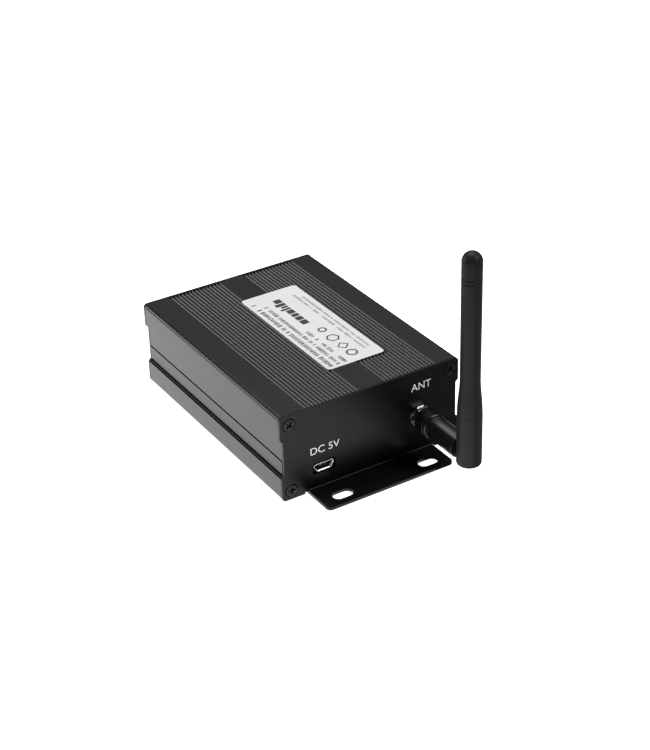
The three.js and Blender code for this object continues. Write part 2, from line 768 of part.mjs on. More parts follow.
function socketShell(centre, wellRadius, back) {
  const flangeFace = FACE + SOCKET.flangeThickness;
  const flange = prismY(
    roundedRectangle(
      centre - SOCKET.flangeWidth / 2,
      centre + SOCKET.flangeWidth / 2,
      SOCKET.z - SOCKET.flangeHeight / 2,
      SOCKET.z + SOCKET.flangeHeight / 2,
      3,
    ),
    FACE + 0.05,
    flangeFace,
  );
  const barrel = rodY(SOCKET.barrel, back, FACE + 1, centre, SOCKET.z, 40);
  const seats = socketScrewPlaces().map(([x, z]) => turnedY(
    [
      [0, FACE - 1],
      [SOCKET_SCREW.shank + 0.2, FACE - 1],
      [SOCKET_SCREW.shank + 0.2, FACE + 0.75],
      [SOCKET_SCREW.head + 0.15, flangeFace + 0.01],
      [0, flangeFace + 0.01],
    ],
    x,
    z,
    20,
  ));
  const well = rodY(wellRadius, back - 1, flangeFace + 1, centre, SOCKET.z, 40);
  return cut(join(flange, barrel), well, ...seats);
}

// The way cut for the latch of the output socket.
function latchChannel(yLow, yHigh) {
  return box(
    SOCKET.x - LATCH.half - LATCH.slack,
    SOCKET.x + LATCH.half + LATCH.slack,
    yLow,
    yHigh,
    SOCKET.z + 8,
    SOCKET.z + LATCH.high + LATCH.slack,
  );
}

function buildSocketScrews(prefix, centre) {
  const size = { head: SOCKET_SCREW.head, shank: SOCKET_SCREW.shank, length: 8, proud: 0.05 };
  const faceY = FACE + SOCKET.flangeThickness + size.proud;
  socketScrewPlaces()
    .filter(([x]) => Math.sign(x) === Math.sign(centre))
    .forEach(([x, z], i) => {
      addPart(`${prefix}_screw_${i + 1}`, countersunkScrew(x, z, faceY, -1, size), looks.blackScrew);
    });
}

function buildInputSocket() {
  const centre = -SOCKET.x;
  const back = FACE - 17;
  const pinHoles = contactPlaces(centre).map(([x, z]) => rodY(CONTACT.hole, back - 3, back + 6, x, z, 16));
  addPart('input_shell', socketShell(centre, 9.3, back), looks.nickel);
  const insert = cut(rodY(9, back + 0.2, back + 4.2, centre, SOCKET.z, 32), ...pinHoles);
  addPart('input_insert', insert, looks.blackPlastic);
  contactPlaces(centre).forEach(([x, z], i) => {
    const tip = FACE - 0.4;
    const pin = turnedY(
      [[0, back - 3], [CONTACT.pin, back - 3], [CONTACT.pin, tip - 0.7], [CONTACT.pin - 0.6, tip], [0, tip]],
      x,
      z,
      16,
    );
    addPart(`input_pin_${i + 1}`, pin, looks.gold);
  });
  buildSocketScrews('input', centre);
}

function buildOutputSocket() {
  const centre = SOCKET.x;
  const back = FACE - 17;
  const flangeFace = FACE + SOCKET.flangeThickness;
  const latchLow = SOCKET.z + LATCH.low;
  const latchHigh = SOCKET.z + LATCH.high;
  const latchHalf = LATCH.half;
  const shell = cut(socketShell(centre, 9.7, back), latchChannel(back + 2, flangeFace + 1));
  addPart('output_shell', shell, looks.nickel);

  const holes = contactPlaces(centre).map(([x, z]) => rodY(CONTACT.hole, back + 1.5, flangeFace, x, z, 16));
  const tails = contactPlaces(centre).map(([x, z]) => rodY(0.9, back - 3, back + 3, x, z, 12));
  const insert = cut(
    join(
      rodY(9.4, back + 0.2, back + 3, centre, SOCKET.z, 32),
      rodY(7.7, back + 2, FACE + 1, centre, SOCKET.z, 32),
    ),
    ...holes,
    ...tails,
  );
  addPart('output_insert', insert, looks.blackPlastic);
  contactPlaces(centre).forEach(([x, z], i) => {
    const sleeve = join(
      rodY(0.7, back - 3, back + 2, x, z, 12),
      cut(rodY(1.35, back + 1.7, FACE - 1.5, x, z, 16), rodY(1, back + 5, FACE, x, z, 16)),
    );
    addPart(`output_contact_${i + 1}`, sleeve, looks.gold);
  });
  const latch = join(
    box(centre - latchHalf, centre + latchHalf, back + 5, flangeFace - 0.4, latchLow, latchLow + 1),
    box(centre - latchHalf, centre + latchHalf, FACE - 1, flangeFace + 1.6, latchLow, latchHigh),
    box(centre - 1.5, centre + 1.5, back + 7, back + 9, latchLow - 1, latchLow + 0.5),
  );
  addPart('output_latch', latch, looks.nickel);
  buildSocketScrews('output', centre);
}

// ---------------------------------------------------------------- button and lamp

function buildButton() {
  const body = cut(
    join(
      box(BUTTON.x - 4, BUTTON.x + 4, INNER_FACE - 10, INNER_FACE - 0.05, BUTTON.z - 4, BUTTON.z + 4),
      rodY(BUTTON.bush, INNER_FACE - 1, FACE + 3, BUTTON.x, BUTTON.z, 24),
    ),
    rodY(BUTTON.plunger + 0.25, INNER_FACE - 4.5, FACE + 4, BUTTON.x, BUTTON.z, 24),
  );
  addPart('button_body', body, looks.blackPlastic);
  const nut = cut(
    prismY(hexagon(BUTTON.x, BUTTON.z, 8), FACE + 0.05, FACE + 1.9),
    rodY(BUTTON.bush + 0.25, FACE - 1, FACE + 3, BUTTON.x, BUTTON.z, 24),
  );
  addPart('button_nut', nut, looks.nickel);
  const cap = turnedY(
    [
      [0, INNER_FACE - 3],
      [BUTTON.plunger, INNER_FACE - 3],
      [BUTTON.plunger, FACE + 4.3],
      [BUTTON.plunger - 0.3, FACE + 4.6],
      [0, FACE + 4.6],
    ],
    BUTTON.x,
    BUTTON.z,
    24,
  );
  addPart('button_cap', cap, looks.blackPlastic);
}

function buildLamp() {
  const bezel = cut(
    join(
      rodY(LED.bezel, INNER_FACE - 4, FACE + 0.8, LED.x, LED.z, 24),
      rodY(LED.rim, FACE + 0.05, FACE + 1, LED.x, LED.z, 24),
    ),
    rodY(LED.lens + 0.3, INNER_FACE - 5, FACE + 2, LED.x, LED.z, 24),
  );
  addPart('led_bezel', bezel, looks.blackPlastic);
  const lens = turnedY(
    [
      [0, INNER_FACE - 3.5],
      [LED.lens, INNER_FACE - 3.5],
      ...arc(0, FACE + 0.4, LED.lens, 0, 90, 5).slice(0, -1),
      [0, FACE + 0.4 + LED.lens],
    ],
    LED.x,
    LED.z,
    20,
  );
  addPart('status_led', lens, looks.ledLens);
}

// ---------------------------------------------------------------- wiring

// A flat three-way cable from the tails of a socket down to its header on the main board.
function buildCable(name, headerName, centre) {
  const headerX = centre * 0.55;
  const headerY = BOARD.rear - 9;
  const headerTop = BOARD_TOP + 6.5;
  const header = box(headerX - 4, headerX + 4, headerY - 2.9, headerY + 2.9, BOARD_TOP + 0.05, headerTop);
  addPart(headerName, header, looks.whitePlastic);
  const section = outline([[-0.6, -1.9], [0.6, -1.9], [0.6, 1.9], [-0.6, 1.9]]);
  const path = new THREE.CatmullRomCurve3([
    new THREE.Vector3(headerX, headerY, headerTop + 0.7),
    new THREE.Vector3(headerX, headerY, headerTop + 3.5),
    new THREE.Vector3((headerX + centre) / 2, headerY + 6, SOCKET.z + 1),
    new THREE.Vector3(centre, headerY + 12, SOCKET.z),
    new THREE.Vector3(centre, FACE - 20.6, SOCKET.z),
  ]);
  const options = { steps: 16, bevelEnabled: false, extrudePath: path };
  addPart(name, asSolid(new THREE.ExtrudeGeometry(section, options)), looks.greyWire);
}

buildCase();
buildPlates();
buildLabel();
buildMainBoard();
buildRadio();
buildJack();
buildCollar();
buildBarrel();
buildWhip();
buildInputSocket();
buildOutputSocket();
buildButton();
buildLamp();
buildCable('input_cable', 'input_header', -SOCKET.x);
buildCable('output_cable', 'output_header', SOCKET.x);

export default object;
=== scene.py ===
"""A small wireless receiver box with a folding stub antenna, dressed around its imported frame."""

import math

import bmesh
import bpy
import numpy as np
from mathutils import Matrix, Vector


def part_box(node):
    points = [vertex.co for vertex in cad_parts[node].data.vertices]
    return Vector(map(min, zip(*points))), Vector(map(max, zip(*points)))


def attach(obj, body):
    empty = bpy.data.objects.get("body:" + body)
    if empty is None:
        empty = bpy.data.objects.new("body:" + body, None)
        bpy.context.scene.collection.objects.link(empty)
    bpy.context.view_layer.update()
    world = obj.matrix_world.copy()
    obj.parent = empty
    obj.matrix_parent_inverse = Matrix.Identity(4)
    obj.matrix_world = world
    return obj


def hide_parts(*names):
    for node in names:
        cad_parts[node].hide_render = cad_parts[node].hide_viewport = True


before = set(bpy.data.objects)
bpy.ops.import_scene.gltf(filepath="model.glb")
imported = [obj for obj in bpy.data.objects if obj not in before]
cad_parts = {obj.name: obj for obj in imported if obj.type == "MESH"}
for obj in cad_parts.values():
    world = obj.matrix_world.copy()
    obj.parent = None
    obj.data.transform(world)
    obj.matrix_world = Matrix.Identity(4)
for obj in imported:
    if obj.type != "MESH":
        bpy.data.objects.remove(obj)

bl_info = {
    "name": "Receiver box",
    "version": (1, 0, 0),
    "blender": (4, 5, 0),
    "location": "View3D > Sidebar > Receiver",
    "description": "Builds the case, connectors and antenna of a small wireless receiver",
    "category": "Object",
}

MM = 0.001
HOUSING, COLLAR, BARREL, WHIP = "housing", "coupling_nut", "antenna_base", "antenna_whip"
BUTTON, LATCH = "button_cap", "output_latch"


def low(node):
    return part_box(node)[0]


def high(node):
    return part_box(node)[1]


def middle(node):
    return (low(node) + high(node)) / 2


# ------------------------------------------------------------------ node trees


class Wire:
    """An output socket; arithmetic on it adds Math nodes to its tree."""

    def __init__(self, tree, socket):
        self.tree = tree
        self.socket = socket

    def math(self, operation, first, second=0.0, clamp=False):
        settings = {"operation": operation, "use_clamp": clamp}
        return self.tree.node("ShaderNodeMath", settings, {0: first, 1: second})

    def __add__(self, other):
        return self.math("ADD", self, other)

    def __rsub__(self, other):
        return self.math("SUBTRACT", other, self)

    def __mul__(self, other):
        return self.math("MULTIPLY", self, other)

    def __gt__(self, other):
        return self.math("GREATER_THAN", self, other)

    def __lt__(self, other):
        return self.math("LESS_THAN", self, other)

    def clamped(self):
        return self.math("ADD", self, 0.0, clamp=True)

    def wave(self, pitch):
        """A sine along this coordinate, from 0 to 1, one crest to each pitch."""
        return self.math("SINE", self * (2 * math.pi / pitch)) * 0.5 + 0.5

    __radd__ = __add__
    __rmul__ = __mul__


class Tree:
    """Adds nodes to a shader or geometry tree."""

    def __init__(self, tree):
        self.tree = tree

    def node(self, kind, settings=None, inputs=None, output=0):
        made = self.tree.nodes.new(kind)
        for key, value in (settings or {}).items():
            if key == "stops":
                self.set_stops(made.color_ramp, value)
            else:
                setattr(made, key, value)
        for key, value in (inputs or {}).items():
            if isinstance(value, Wire):
                self.tree.links.new(value.socket, made.inputs[key])
            else:
                made.inputs[key].default_value = value
        return Wire(self, made.outputs[output]) if len(made.outputs) else None

    @staticmethod
    def set_stops(ramp, stops):
        while len(ramp.elements) < len(stops):
            ramp.elements.new(1.0)
        for element, (place, level) in zip(ramp.elements, stops):
            element.position = place
            element.color = (level, level, level, 1.0)


class Finish(Tree):
    """A procedural material that reads object coordinates, in metres."""

    def __init__(self, name):
        self.material = bpy.data.materials.new(name)
        self.material.use_nodes = True
        super().__init__(self.material.node_tree)
        self.tree.nodes.clear()
        self.place = self.node("ShaderNodeTexCoord", output=3)

    def stretched(self, scale):
        return self.node("ShaderNodeMapping", {"vector_type": "POINT"}, {0: self.place, 3: scale})

    def noise(self, scale, detail=2.0, stretch=(1, 1, 1)):
        """Cloudy noise from 0 to 1; scale is in features to a metre."""
        inputs = {"Vector": self.stretched(stretch), "Scale": scale, "Detail": detail}
        return self.node("ShaderNodeTexNoise", {}, inputs)

    def cells(self, scale):
        inputs = {"Vector": self.place, "Scale": scale}
        return self.node("ShaderNodeTexVoronoi", {"feature": "F1"}, inputs)

    def ramp(self, value, stops):
        return self.node("ShaderNodeValToRGB", {"stops": stops}, {0: value})

    def axis(self, index):
        return self.node("ShaderNodeSeparateXYZ", {}, {0: self.place}, output=index)

    def mix(self, factor, first, second):
        """Colour that goes from first to second as factor goes from 0 to 1."""
        paint = [c if isinstance(c, Wire) else (*c[:3], 1.0) for c in (first, second)]
        inputs = {0: factor, 6: paint[0], 7: paint[1]}
        return self.node("ShaderNodeMix", {"data_type": "RGBA"}, inputs, output=2)

    def bump(self, height, depth, under=None):
        inputs = {"Height": height, "Distance": depth, "Strength": 1.0}
        if under is not None:
            inputs["Normal"] = under
        return self.node("ShaderNodeBump", {}, inputs)

    def shade(self, colour, roughness, metallic=0.0, normal=None, **constants):
        inputs = {"Base Color": colour, "Roughness": roughness, "Metallic": metallic}
        if not isinstance(colour, Wire):
            inputs["Base Color"] = (*colour[:3], 1.0)
        if normal is not None:
            inputs["Normal"] = normal
        inputs.update({key.replace("_", " "): value for key, value in constants.items()})
        shader = self.node("ShaderNodeBsdfPrincipled", {}, inputs)
        self.node("ShaderNodeOutputMaterial", {}, {0: shader})
        return self.material


# ------------------------------------------------------------------ finishes


def tint(colour, factor):
    return tuple(c * factor for c in colour[:3])


def blend(layers, weights, base=0.0):
    """The weighted sum of a finish's layers, on top of a base level."""
    return sum((layer * weight for layer, weight in zip(layers, weights) if weight), base)


def layered(name, layers, tone, colours, roughness, coarseness, relief, metallic=0.0, **constants):
    """A finish made of noise layers, each given as [scale, detail, stretch].

    The tone weights of the layers mix the two colours, their coarseness is added to the roughness,
    and relief names the layer that stands up and by how much, in metres.
    """
    finish = Finish(name)
    made = [finish.noise(*layer) for layer in layers]
    paint = finish.mix(blend(made, tone), *colours)
    bumps = finish.bump(made[relief[0]], relief[1])
    return finish.shade(paint, blend(made, coarseness, roughness), metallic, bumps, **constants)


def anodised_aluminium(colour):
    finish = Finish("black_anodised_aluminium")
    draw_lines = finish.noise(900, 3, stretch=(1, 0.012, 1))
    grain = finish.noise(7000, 2)
    cloud = finish.noise(45, 3)
    specks = finish.ramp(finish.noise(1900, 1), [(0.0, 0.0), (0.72, 0.0), (0.8, 1.0)])
    tone = (draw_lines * 0.35 + cloud * 0.4 + grain * 0.25).clamped()
    paint = finish.mix(tone, tint(colour, 0.72), tint(colour, 1.3))
    paint = finish.mix(specks * 0.25, paint, tint(colour, 3.0))
    roughness = 0.2 + draw_lines * 0.07 + cloud * 0.04
    normal = finish.bump(draw_lines, 0.000006, finish.bump(grain, 0.000004))
    return finish.shade(paint, roughness, 0.4, normal, Specular_IOR_Level=0.62)


def coated_sheet(colour):
    finish = Finish("black_coated_sheet")
    orange_peel = finish.noise(2600, 2)
    dust = finish.ramp(finish.noise(1400, 2), [(0.0, 0.0), (0.7, 0.0), (0.78, 1.0)])
    paint = finish.mix(orange_peel, tint(colour, 0.7), tint(colour, 1.35))
    paint = finish.mix(dust * 0.2, paint, tint(colour, 12.0))
    roughness = 0.3 + orange_peel * 0.06 + finish.noise(30, 2) * 0.04
    normal = finish.bump(orange_peel, 0.000008)
    return finish.shade(paint, roughness, 0.1, normal, Specular_IOR_Level=0.22)


def blackened_steel():
    finish = Finish("blackened_steel")
    grain = finish.noise(5200, 3)
    worn = finish.ramp(finish.noise(1500, 4), [(0.0, 0.0), (0.58, 0.0), (0.75, 1.0)])
    paint = finish.mix(grain, (0.006, 0.006, 0.0065), (0.016, 0.016, 0.017))
    paint = finish.mix(worn * 0.4, paint, (0.08, 0.08, 0.085))
    normal = finish.bump(grain, 0.000004)
    return finish.shade(paint, 0.22 + grain * 0.12, 0.5, normal, Specular_IOR_Level=0.3)


def tinned_sheet():
    finish = Finish("tinned_sheet")
    grain = finish.noise(4200, 2)
    paint = finish.mix(finish.cells(900), (0.44, 0.45, 0.46), (0.62, 0.63, 0.64))
    return finish.shade(paint, 0.28 + grain * 0.16, 1.0, finish.bump(grain, 0.000006))


def satin_moulding(colour):
    layers = [(4200, 3), (110, 2)]
    colours = tint(colour, 0.75), tint(colour, 1.3)
    relief = (0, 0.000016)
    return layered(
        "satin_black_moulding", layers, (0.6, 0.4), colours, 0.33, (0.12,), relief, Specular_IOR_Level=0.13
    )


def printing_ink(name, colour):
    colours = tint(colour, 0.82), tint(colour, 1.15)
    return layered(name, [(5200, 3)], (1,), colours, 0.5, (0.2,), (0, 0.00001))


def circuit_laminate(name, colour):
    """Solder mask over copper tracks that run both ways."""
    finish = Finish(name)
    across = finish.axis(0).wave(0.0021) > 0.9
    along = finish.axis(1).wave(0.0027) > 0.9
    patch = finish.ramp(finish.cells(160), [(0.0, 0.0), (0.42, 0.0), (0.5, 1.0)])
    tracks = ((across * patch) + (along * (1 - patch))).clamped()
    weave = finish.noise(2200, 2)
    paint = finish.mix(weave, tint(colour, 0.8), tint(colour, 1.15))
    paint = finish.mix(tracks * 0.7, paint, tint(colour, 2.4))
    return finish.shade(paint, 0.32 + weave * 0.14, 0.0, finish.bump(tracks, 0.00003))


def ribbon_insulation():
    """Three insulated wires side by side, seen as soft ridges across the strip."""
    finish = Finish("grey_ribbon_insulation")
    ridge = finish.axis(0).wave(0.00127)
    grain = finish.noise(2600, 2)
    # The grey is darker in the valleys between the wires and lighter on their crests: painted shade and
    # painted highlight, with random grain on top.
    paint = finish.mix(ridge * 0.7 + grain * 0.3, (0.16, 0.165, 0.17), (0.34, 0.345, 0.35))
    return finish.shade(paint, 0.45 + grain * 0.15, 0.0, finish.bump(ridge, 0.0002))


# The plain finishes, each as what layered() takes, in its order.
PLAIN_FINISHES = {
    "nickel": (
        "bright_nickel", [(700, 3), (2600, 3, (1, 0.15, 1))], (1,),
        ((0.56, 0.565, 0.57), (0.74, 0.745, 0.75)), 0.14, (0.1, 0.06), (1, 0.000004), 1.0,
    ),
    "satin_nickel": (
        "satin_nickel", [(5200, 2), (160, 3)], (0, 1),
        ((0.42, 0.425, 0.43), (0.58, 0.585, 0.59)), 0.3, (0.14,), (0, 0.00001), 0.95,
    ),
    "gold": (
        "gold_plate", [(900, 3)], (1,),
        ((0.66, 0.42, 0.13), (0.84, 0.58, 0.22)), 0.16, (0.14,), (0, 0.000005), 1.0,
    ),
    "black_plastic": (
        "glossy_black_moulding", [(340, 3, (1, 0.3, 1)), (5200, 2)], (1,),
        ((0.005, 0.005, 0.0053), (0.01, 0.01, 0.0105)), 0.2, (0.07, 0.06), (1, 0.000006),
    ),
    "white_plastic": (
        "white_moulding", [(3600, 2), (220, 2)], (0, 1),
        ((0.74, 0.72, 0.66), (0.84, 0.83, 0.79)), 0.4, (0.16,), (0, 0.00001),
    ),
    "label_stock": (
        "white_label_film", [(2400, 3), (90, 2)], (0.5, 0.5),
        ((0.64, 0.645, 0.65), (0.72, 0.725, 0.73)), 0.42, (0.12,), (0, 0.000008),
    ),
    "epoxy": (
        "chip_epoxy", [(6200, 3)], (1,),
        ((0.014, 0.014, 0.015), (0.04, 0.04, 0.042)), 0.5, (0.2,), (0, 0.000014),
    ),
    "led_lens": (
        "green_lamp_lens", [(1400, 2)], (1,),
        ((0.16, 0.55, 0.22), (0.3, 0.75, 0.36)), 0.08, (0.08,), (0, 0.000008),
    ),
    "copper": (
        "bare_copper", [(800, 4)], (1,),
        ((0.4, 0.17, 0.08), (0.72, 0.36, 0.2)), 0.22, (0.25,), (0, 0.00001), 1.0,
    ),
}
PLAIN_CONSTANTS = {"black_plastic": {"Specular_IOR_Level": 0.42}, "led_lens": {"Transmission_Weight": 0.45}}

OTHER_FINISHES = {
    "anodised_case": lambda scene: anodised_aluminium(scene.receiver_case.case_colour),
    "coated_sheet": lambda scene: coated_sheet(scene.receiver_case.plate_colour),
    "soft_sleeve": lambda scene: satin_moulding(scene.receiver_antenna.sleeve_colour),
    "black_screw": lambda scene: blackened_steel(),
    "tin": lambda scene: tinned_sheet(),
    "dark_ink": lambda scene: printing_ink("dark_grey_ink", (0.022, 0.022, 0.024)),
    "pale_ink": lambda scene: printing_ink("pale_grey_ink", (0.18, 0.182, 0.188)),
    "white_ink": lambda scene: printing_ink("white_ink", (0.9, 0.905, 0.91)),
    "board_black": lambda scene: circuit_laminate("black_laminate", (0.01, 0.011, 0.011)),
    "board_blue": lambda scene: circuit_laminate("blue_laminate", (0.02, 0.06, 0.19)),
    "grey_wire": lambda scene: ribbon_insulation(),
}

FINISHES = {}


def finish_for(key):
    """The finish of a material slot, made the first time that it is asked for."""
    if key not in FINISHES and key in PLAIN_FINISHES:
        FINISHES[key] = layered(*PLAIN_FINISHES[key], **PLAIN_CONSTANTS.get(key, {}))
    elif key not in FINISHES:
        FINISHES[key] = OTHER_FINISHES[key](bpy.context.scene)
    return FINISHES[key]


# ------------------------------------------------------------------ meshes


def piece_from_mesh(name, mesh):
    piece = bpy.data.objects.new(name, mesh)
    bpy.context.scene.collection.objects.link(piece)
    return piece


def piece_from_work(name, work):
    """A piece from a bmesh, which is then let go."""
    mesh = bpy.data.meshes.new(name)
    work.to_mesh(mesh)
    work.free()
    return piece_from_mesh(name, mesh)


def piece_from(name, vertices, faces):
    """A piece with its normals turned outwards; vertices are in metres."""
    work = bmesh.new()
    made = [work.verts.new(v) for v in vertices]
    for face in faces:
        work.faces.new([made[i] for i in face])
    bmesh.ops.recalc_face_normals(work, faces=work.faces)
    return piece_from_work(name, work)


def evaluated(piece):
    """The piece's mesh with its modifiers applied."""
    bpy.context.view_layer.update()
    depsgraph = bpy.context.evaluated_depsgraph_get()
    return bpy.data.meshes.new_from_object(piece.evaluated_get(depsgraph), depsgraph=depsgraph)


def bake_modifiers(piece):
    mesh = evaluated(piece)
    piece.modifiers.clear()
    old, piece.data = piece.data, mesh
    bpy.data.meshes.remove(old)
    return piece


def modified(piece, kind, **settings):
    """Adds a modifier to a piece, with its settings; it is baked later."""
    modifier = piece.modifiers.new(kind.lower(), kind)
    for name, value in settings.items():
        setattr(modifier, name, value)
    return piece


def discard(*pieces):
    for piece in pieces:
        bpy.data.objects.remove(piece, do_unlink=True)


def boolean(piece, operation, *tools):
    for tool in tools:
        modified(piece, "BOOLEAN", operation=operation, solver="EXACT", object=tool)
    bake_modifiers(piece)
    discard(*tools)
    return piece


def soften(piece, radius, segments=2, angle=35.0):
    """Rounds the sharp edges of a piece by a radius in millimetres."""
    edges = {"limit_method": "ANGLE", "angle_limit": math.radians(angle), "use_clamp_overlap": True}
    modified(piece, "BEVEL", width=radius * MM, segments=segments, miter_outer="MITER_ARC", **edges)
    return flat_faces(smooth(bake_modifiers(piece)))


def flat_faces(piece):
    """Keeps large faces evenly lit right up to their rounded edges."""
    return bake_modifiers(modified(piece, "WEIGHTED_NORMAL", mode="FACE_AREA", weight=100, keep_sharp=True))


def smooth(piece, angle=32.0):
    piece.data.shade_smooth()
    piece.data.set_sharp_from_angle(angle=math.radians(angle))
    return piece


def join_pieces(name, pieces):
    """One piece from several, each keeping its own finish."""
    work = bmesh.new()
    finishes = []
    for piece in pieces:
        start = len(work.faces)
        work.from_mesh(piece.data)
        work.faces.ensure_lookup_table()
        used = list(piece.data.materials)
        for face in work.faces[start:]:
            finish = used[face.material_index] if used else None
            if finish not in finishes:
                finishes.append(finish)
            face.material_index = finishes.index(finish)
    joined = piece_from_work(name, work)
    for finish in finishes:
        joined.data.materials.append(finish)
    discard(*pieces)
    return joined


# How points [x, y, height] about the Z axis are laid over to stand about each axis.
LAID_OVER = {
    "X": lambda x, y, z: (z, y, -x),
    "Y": lambda x, y, z: (x, z, -y),
    "Z": lambda x, y, z: (x, y, z),
}

# How the points of an outline [across, up] and a distance along the axis become a place.
SWEPT = {
    "X": lambda across, up, along: (along, across, up),
    "Y": lambda across, up, along: (across, along, up),
    "Z": lambda across, up, along: (across, up, along),
}


def around(radius, count):
    """Points at equal steps round a circle."""
    angles = [2 * math.pi * i / count for i in range(count)]
    return [(radius * math.cos(angle), radius * math.sin(angle)) for angle in angles]


def rod(radius, start, end):
    """The profile of a plain cylinder."""
    return [(0, start), (radius, start), (radius, end), (0, end)]


def turned(name, profile, centre, axis="Y", segments=72):
    """A lathe-turned piece; profile is [radius, height] in millimetres and starts and ends on the axis."""
    points, rings = [], []
    for radius, height in profile:
        circle = around(radius, 1 if radius < 1e-6 else segments)
        rings.append(range(len(points), len(points) + len(circle)))
        points += [LAID_OVER[axis](x, y, height) for x, y in circle]
    faces = []
    for lower, upper in zip(rings, rings[1:]):
        for i in range(segments):
            j = (i + 1) % segments
            corners = ((lower, i), (lower, j), (upper, j), (upper, i))
            face = list(dict.fromkeys(ring[k % len(ring)] for ring, k in corners))
            if len(face) > 2:
                faces.append(face)
    return smooth(piece_from(name, [Vector(p) * MM + Vector(centre) for p in points], faces))


def looped(name, rings, centre=(0, 0, 0)):
    """A closed skin over rings of points in millimetres; the last ring meets the first."""
    count = len(rings[0])
    faces = []
    for i in range(len(rings)):
        a, b = i * count, ((i + 1) % len(rings)) * count
        faces += [[a + k, a + (k + 1) % count, b + (k + 1) % count, b + k] for k in range(count)]
    return piece_from(name, [Vector(p) * MM + Vector(centre) for ring in rings for p in ring], faces)


def tube(name, profile, centre, axis="Y", segments=72):
    """A turned ring: profile is a closed loop of [radius, height] that stays off the axis."""
    spokes = around(1, segments)
    rings = [[LAID_OVER[axis](r * x, r * y, height) for r, height in profile] for x, y in spokes]
    return smooth(looped(name, rings, centre))


def rounded_outline(corners, steps=5):
    """Points round a polygon whose corners are [across, up, radius], in millimetres."""
    points = []
    count = len(corners)
    for i, (x, y, radius) in enumerate(corners):
        here = Vector((x, y))
        before = Vector(corners[i - 1][:2]) - here
        after = Vector(corners[(i + 1) % count][:2]) - here
        angle = before.angle(after)
        if radius <= 0 or angle > math.pi - 0.02:
            points.append((x, y))
            continue
        reach = radius / math.tan(angle / 2)
        reach = min(reach, before.length * 0.49, after.length * 0.49)
        radius = reach * math.tan(angle / 2)
        bisector = (before.normalized() + after.normalized()).normalized()
        centre = here + bisector * (radius / math.sin(angle / 2))
        start = here + before.normalized() * reach - centre
        finish = here + after.normalized() * reach - centre
        sweep = start.angle_signed(finish)
        for k in range(steps + 1):
            turn = Matrix.Rotation(-sweep * k / steps, 2)
            points.append(tuple(centre + turn @ start))
    return points


def extruded(name, outline, start, end, axis="Y"):
    """A prism: the outline is [across, up] in millimetres, and the prism runs along the axis."""
    count = len(outline)
    vertices = [Vector(SWEPT[axis](a, b, c)) * MM for c in (start, end) for a, b in outline]
    faces = [[i, (i + 1) % count, count + (i + 1) % count, count + i] for i in range(count)]
    faces += [list(range(count)), list(range(count, 2 * count))]
    return piece_from(name, vertices, faces)


def block(name, lowest, highest):
    """A box between two corners in millimetres."""
    (x0, y0, z0), (x1, y1, z1) = lowest, highest
    return extruded(name, [(x0, z0), (x1, z0), (x1, z1), (x0, z1)], y0, y1)


def clean_copy(node, name):
    """A copy of a frame node with its loose triangles merged into flat faces."""
    work = bmesh.new()
    work.from_mesh(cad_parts[node].data)
    bmesh.ops.remove_doubles(work, verts=work.verts, dist=2e-6)
    flat = {"angle_limit": math.radians(1.0), "use_dissolve_boundaries": False}
    bmesh.ops.dissolve_limit(work, verts=work.verts, edges=work.edges, **flat)
    piece = piece_from_work(name, work)
    piece.data.materials.clear()
    return piece


def dress(piece, finish, body, *nodes, slot=None):
    """Gives a finished piece its material, its body and the frame nodes it stands for."""
    if finish is not None:
        piece.data.materials.clear()
        piece.data.materials.append(finish_for(finish))
    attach(piece, body)
    if nodes:
        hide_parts(*nodes)
    return piece


def rounded_node(node, finish, body, radius, segments=2, slot=None):
    """Stands in for a frame node with the same shape and finely rounded edges."""
    piece = soften(clean_copy(node, node + "_finished"), radius, segments)
    return dress(piece, finish, body, node, slot=slot)


def refinish(finish, *nodes):
    """Gives frame nodes that keep their own shape a better material."""
    for node in nodes:
        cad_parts[node].material_slots[0].material = finish_for(finish)


# ------------------------------------------------------------------ geometry nodes


class Pattern(Tree):
    """A geometry-node tree with named inputs, for what repeats."""

    def __init__(self, name):
        super().__init__(bpy.data.node_groups.new(name, "GeometryNodeTree"))
        self.sockets = {}
        for side in ("INPUT", "OUTPUT"):
            self.tree.interface.new_socket("Geometry", in_out=side, socket_type="NodeSocketGeometry")
        self.entry = self.tree.nodes.new("NodeGroupInput")

    def base(self):
        return Wire(self, self.entry.outputs["Geometry"])

    def take(self, name, kind, default=None):
        """Adds a named input and returns it."""
        socket = self.tree.interface.new_socket(name, in_out="INPUT", socket_type="NodeSocket" + kind)
        if default is not None:
            socket.default_value = default
        self.sockets[name] = socket.identifier
        return Wire(self, self.entry.outputs[name])

    def chance(self, most, seed):
        """A number between nought and the most, drawn afresh for each point."""
        inputs = {2: 0.0, 3: most, "Seed": seed}
        return self.node("FunctionNodeRandomValue", {"data_type": "FLOAT"}, inputs, output=1)

    def facing(self, axis, direction):
        """The rotation that turns an axis of a copy to a direction."""
        return self.node("FunctionNodeAlignRotationToVector", {"axis": axis}, {"Vector": direction})

    def copies(self, points, model, **inputs):
        inputs.update({"Points": points, "Instance": model})
        return self.node("GeometryNodeInstanceOnPoints", {}, inputs)

    def end(self, geometry):
        material = self.take("Material", "Material")
        solid = self.node("GeometryNodeRealizeInstances", {}, {0: geometry})
        painted = self.node("GeometryNodeSetMaterial", {}, {"Geometry": solid, "Material": material})
        self.node("NodeGroupOutput", {}, {0: painted})
        return self

    def grow(self, piece, **values):
        """Runs the tree on a piece, with its inputs set, and keeps the result as a plain mesh."""
        modifier = piece.modifiers.new(self.tree.name, "NODES")
        modifier.node_group = self.tree
        for name, value in values.items():
            modifier[self.sockets[name]] = value
        return bake_modifiers(piece)


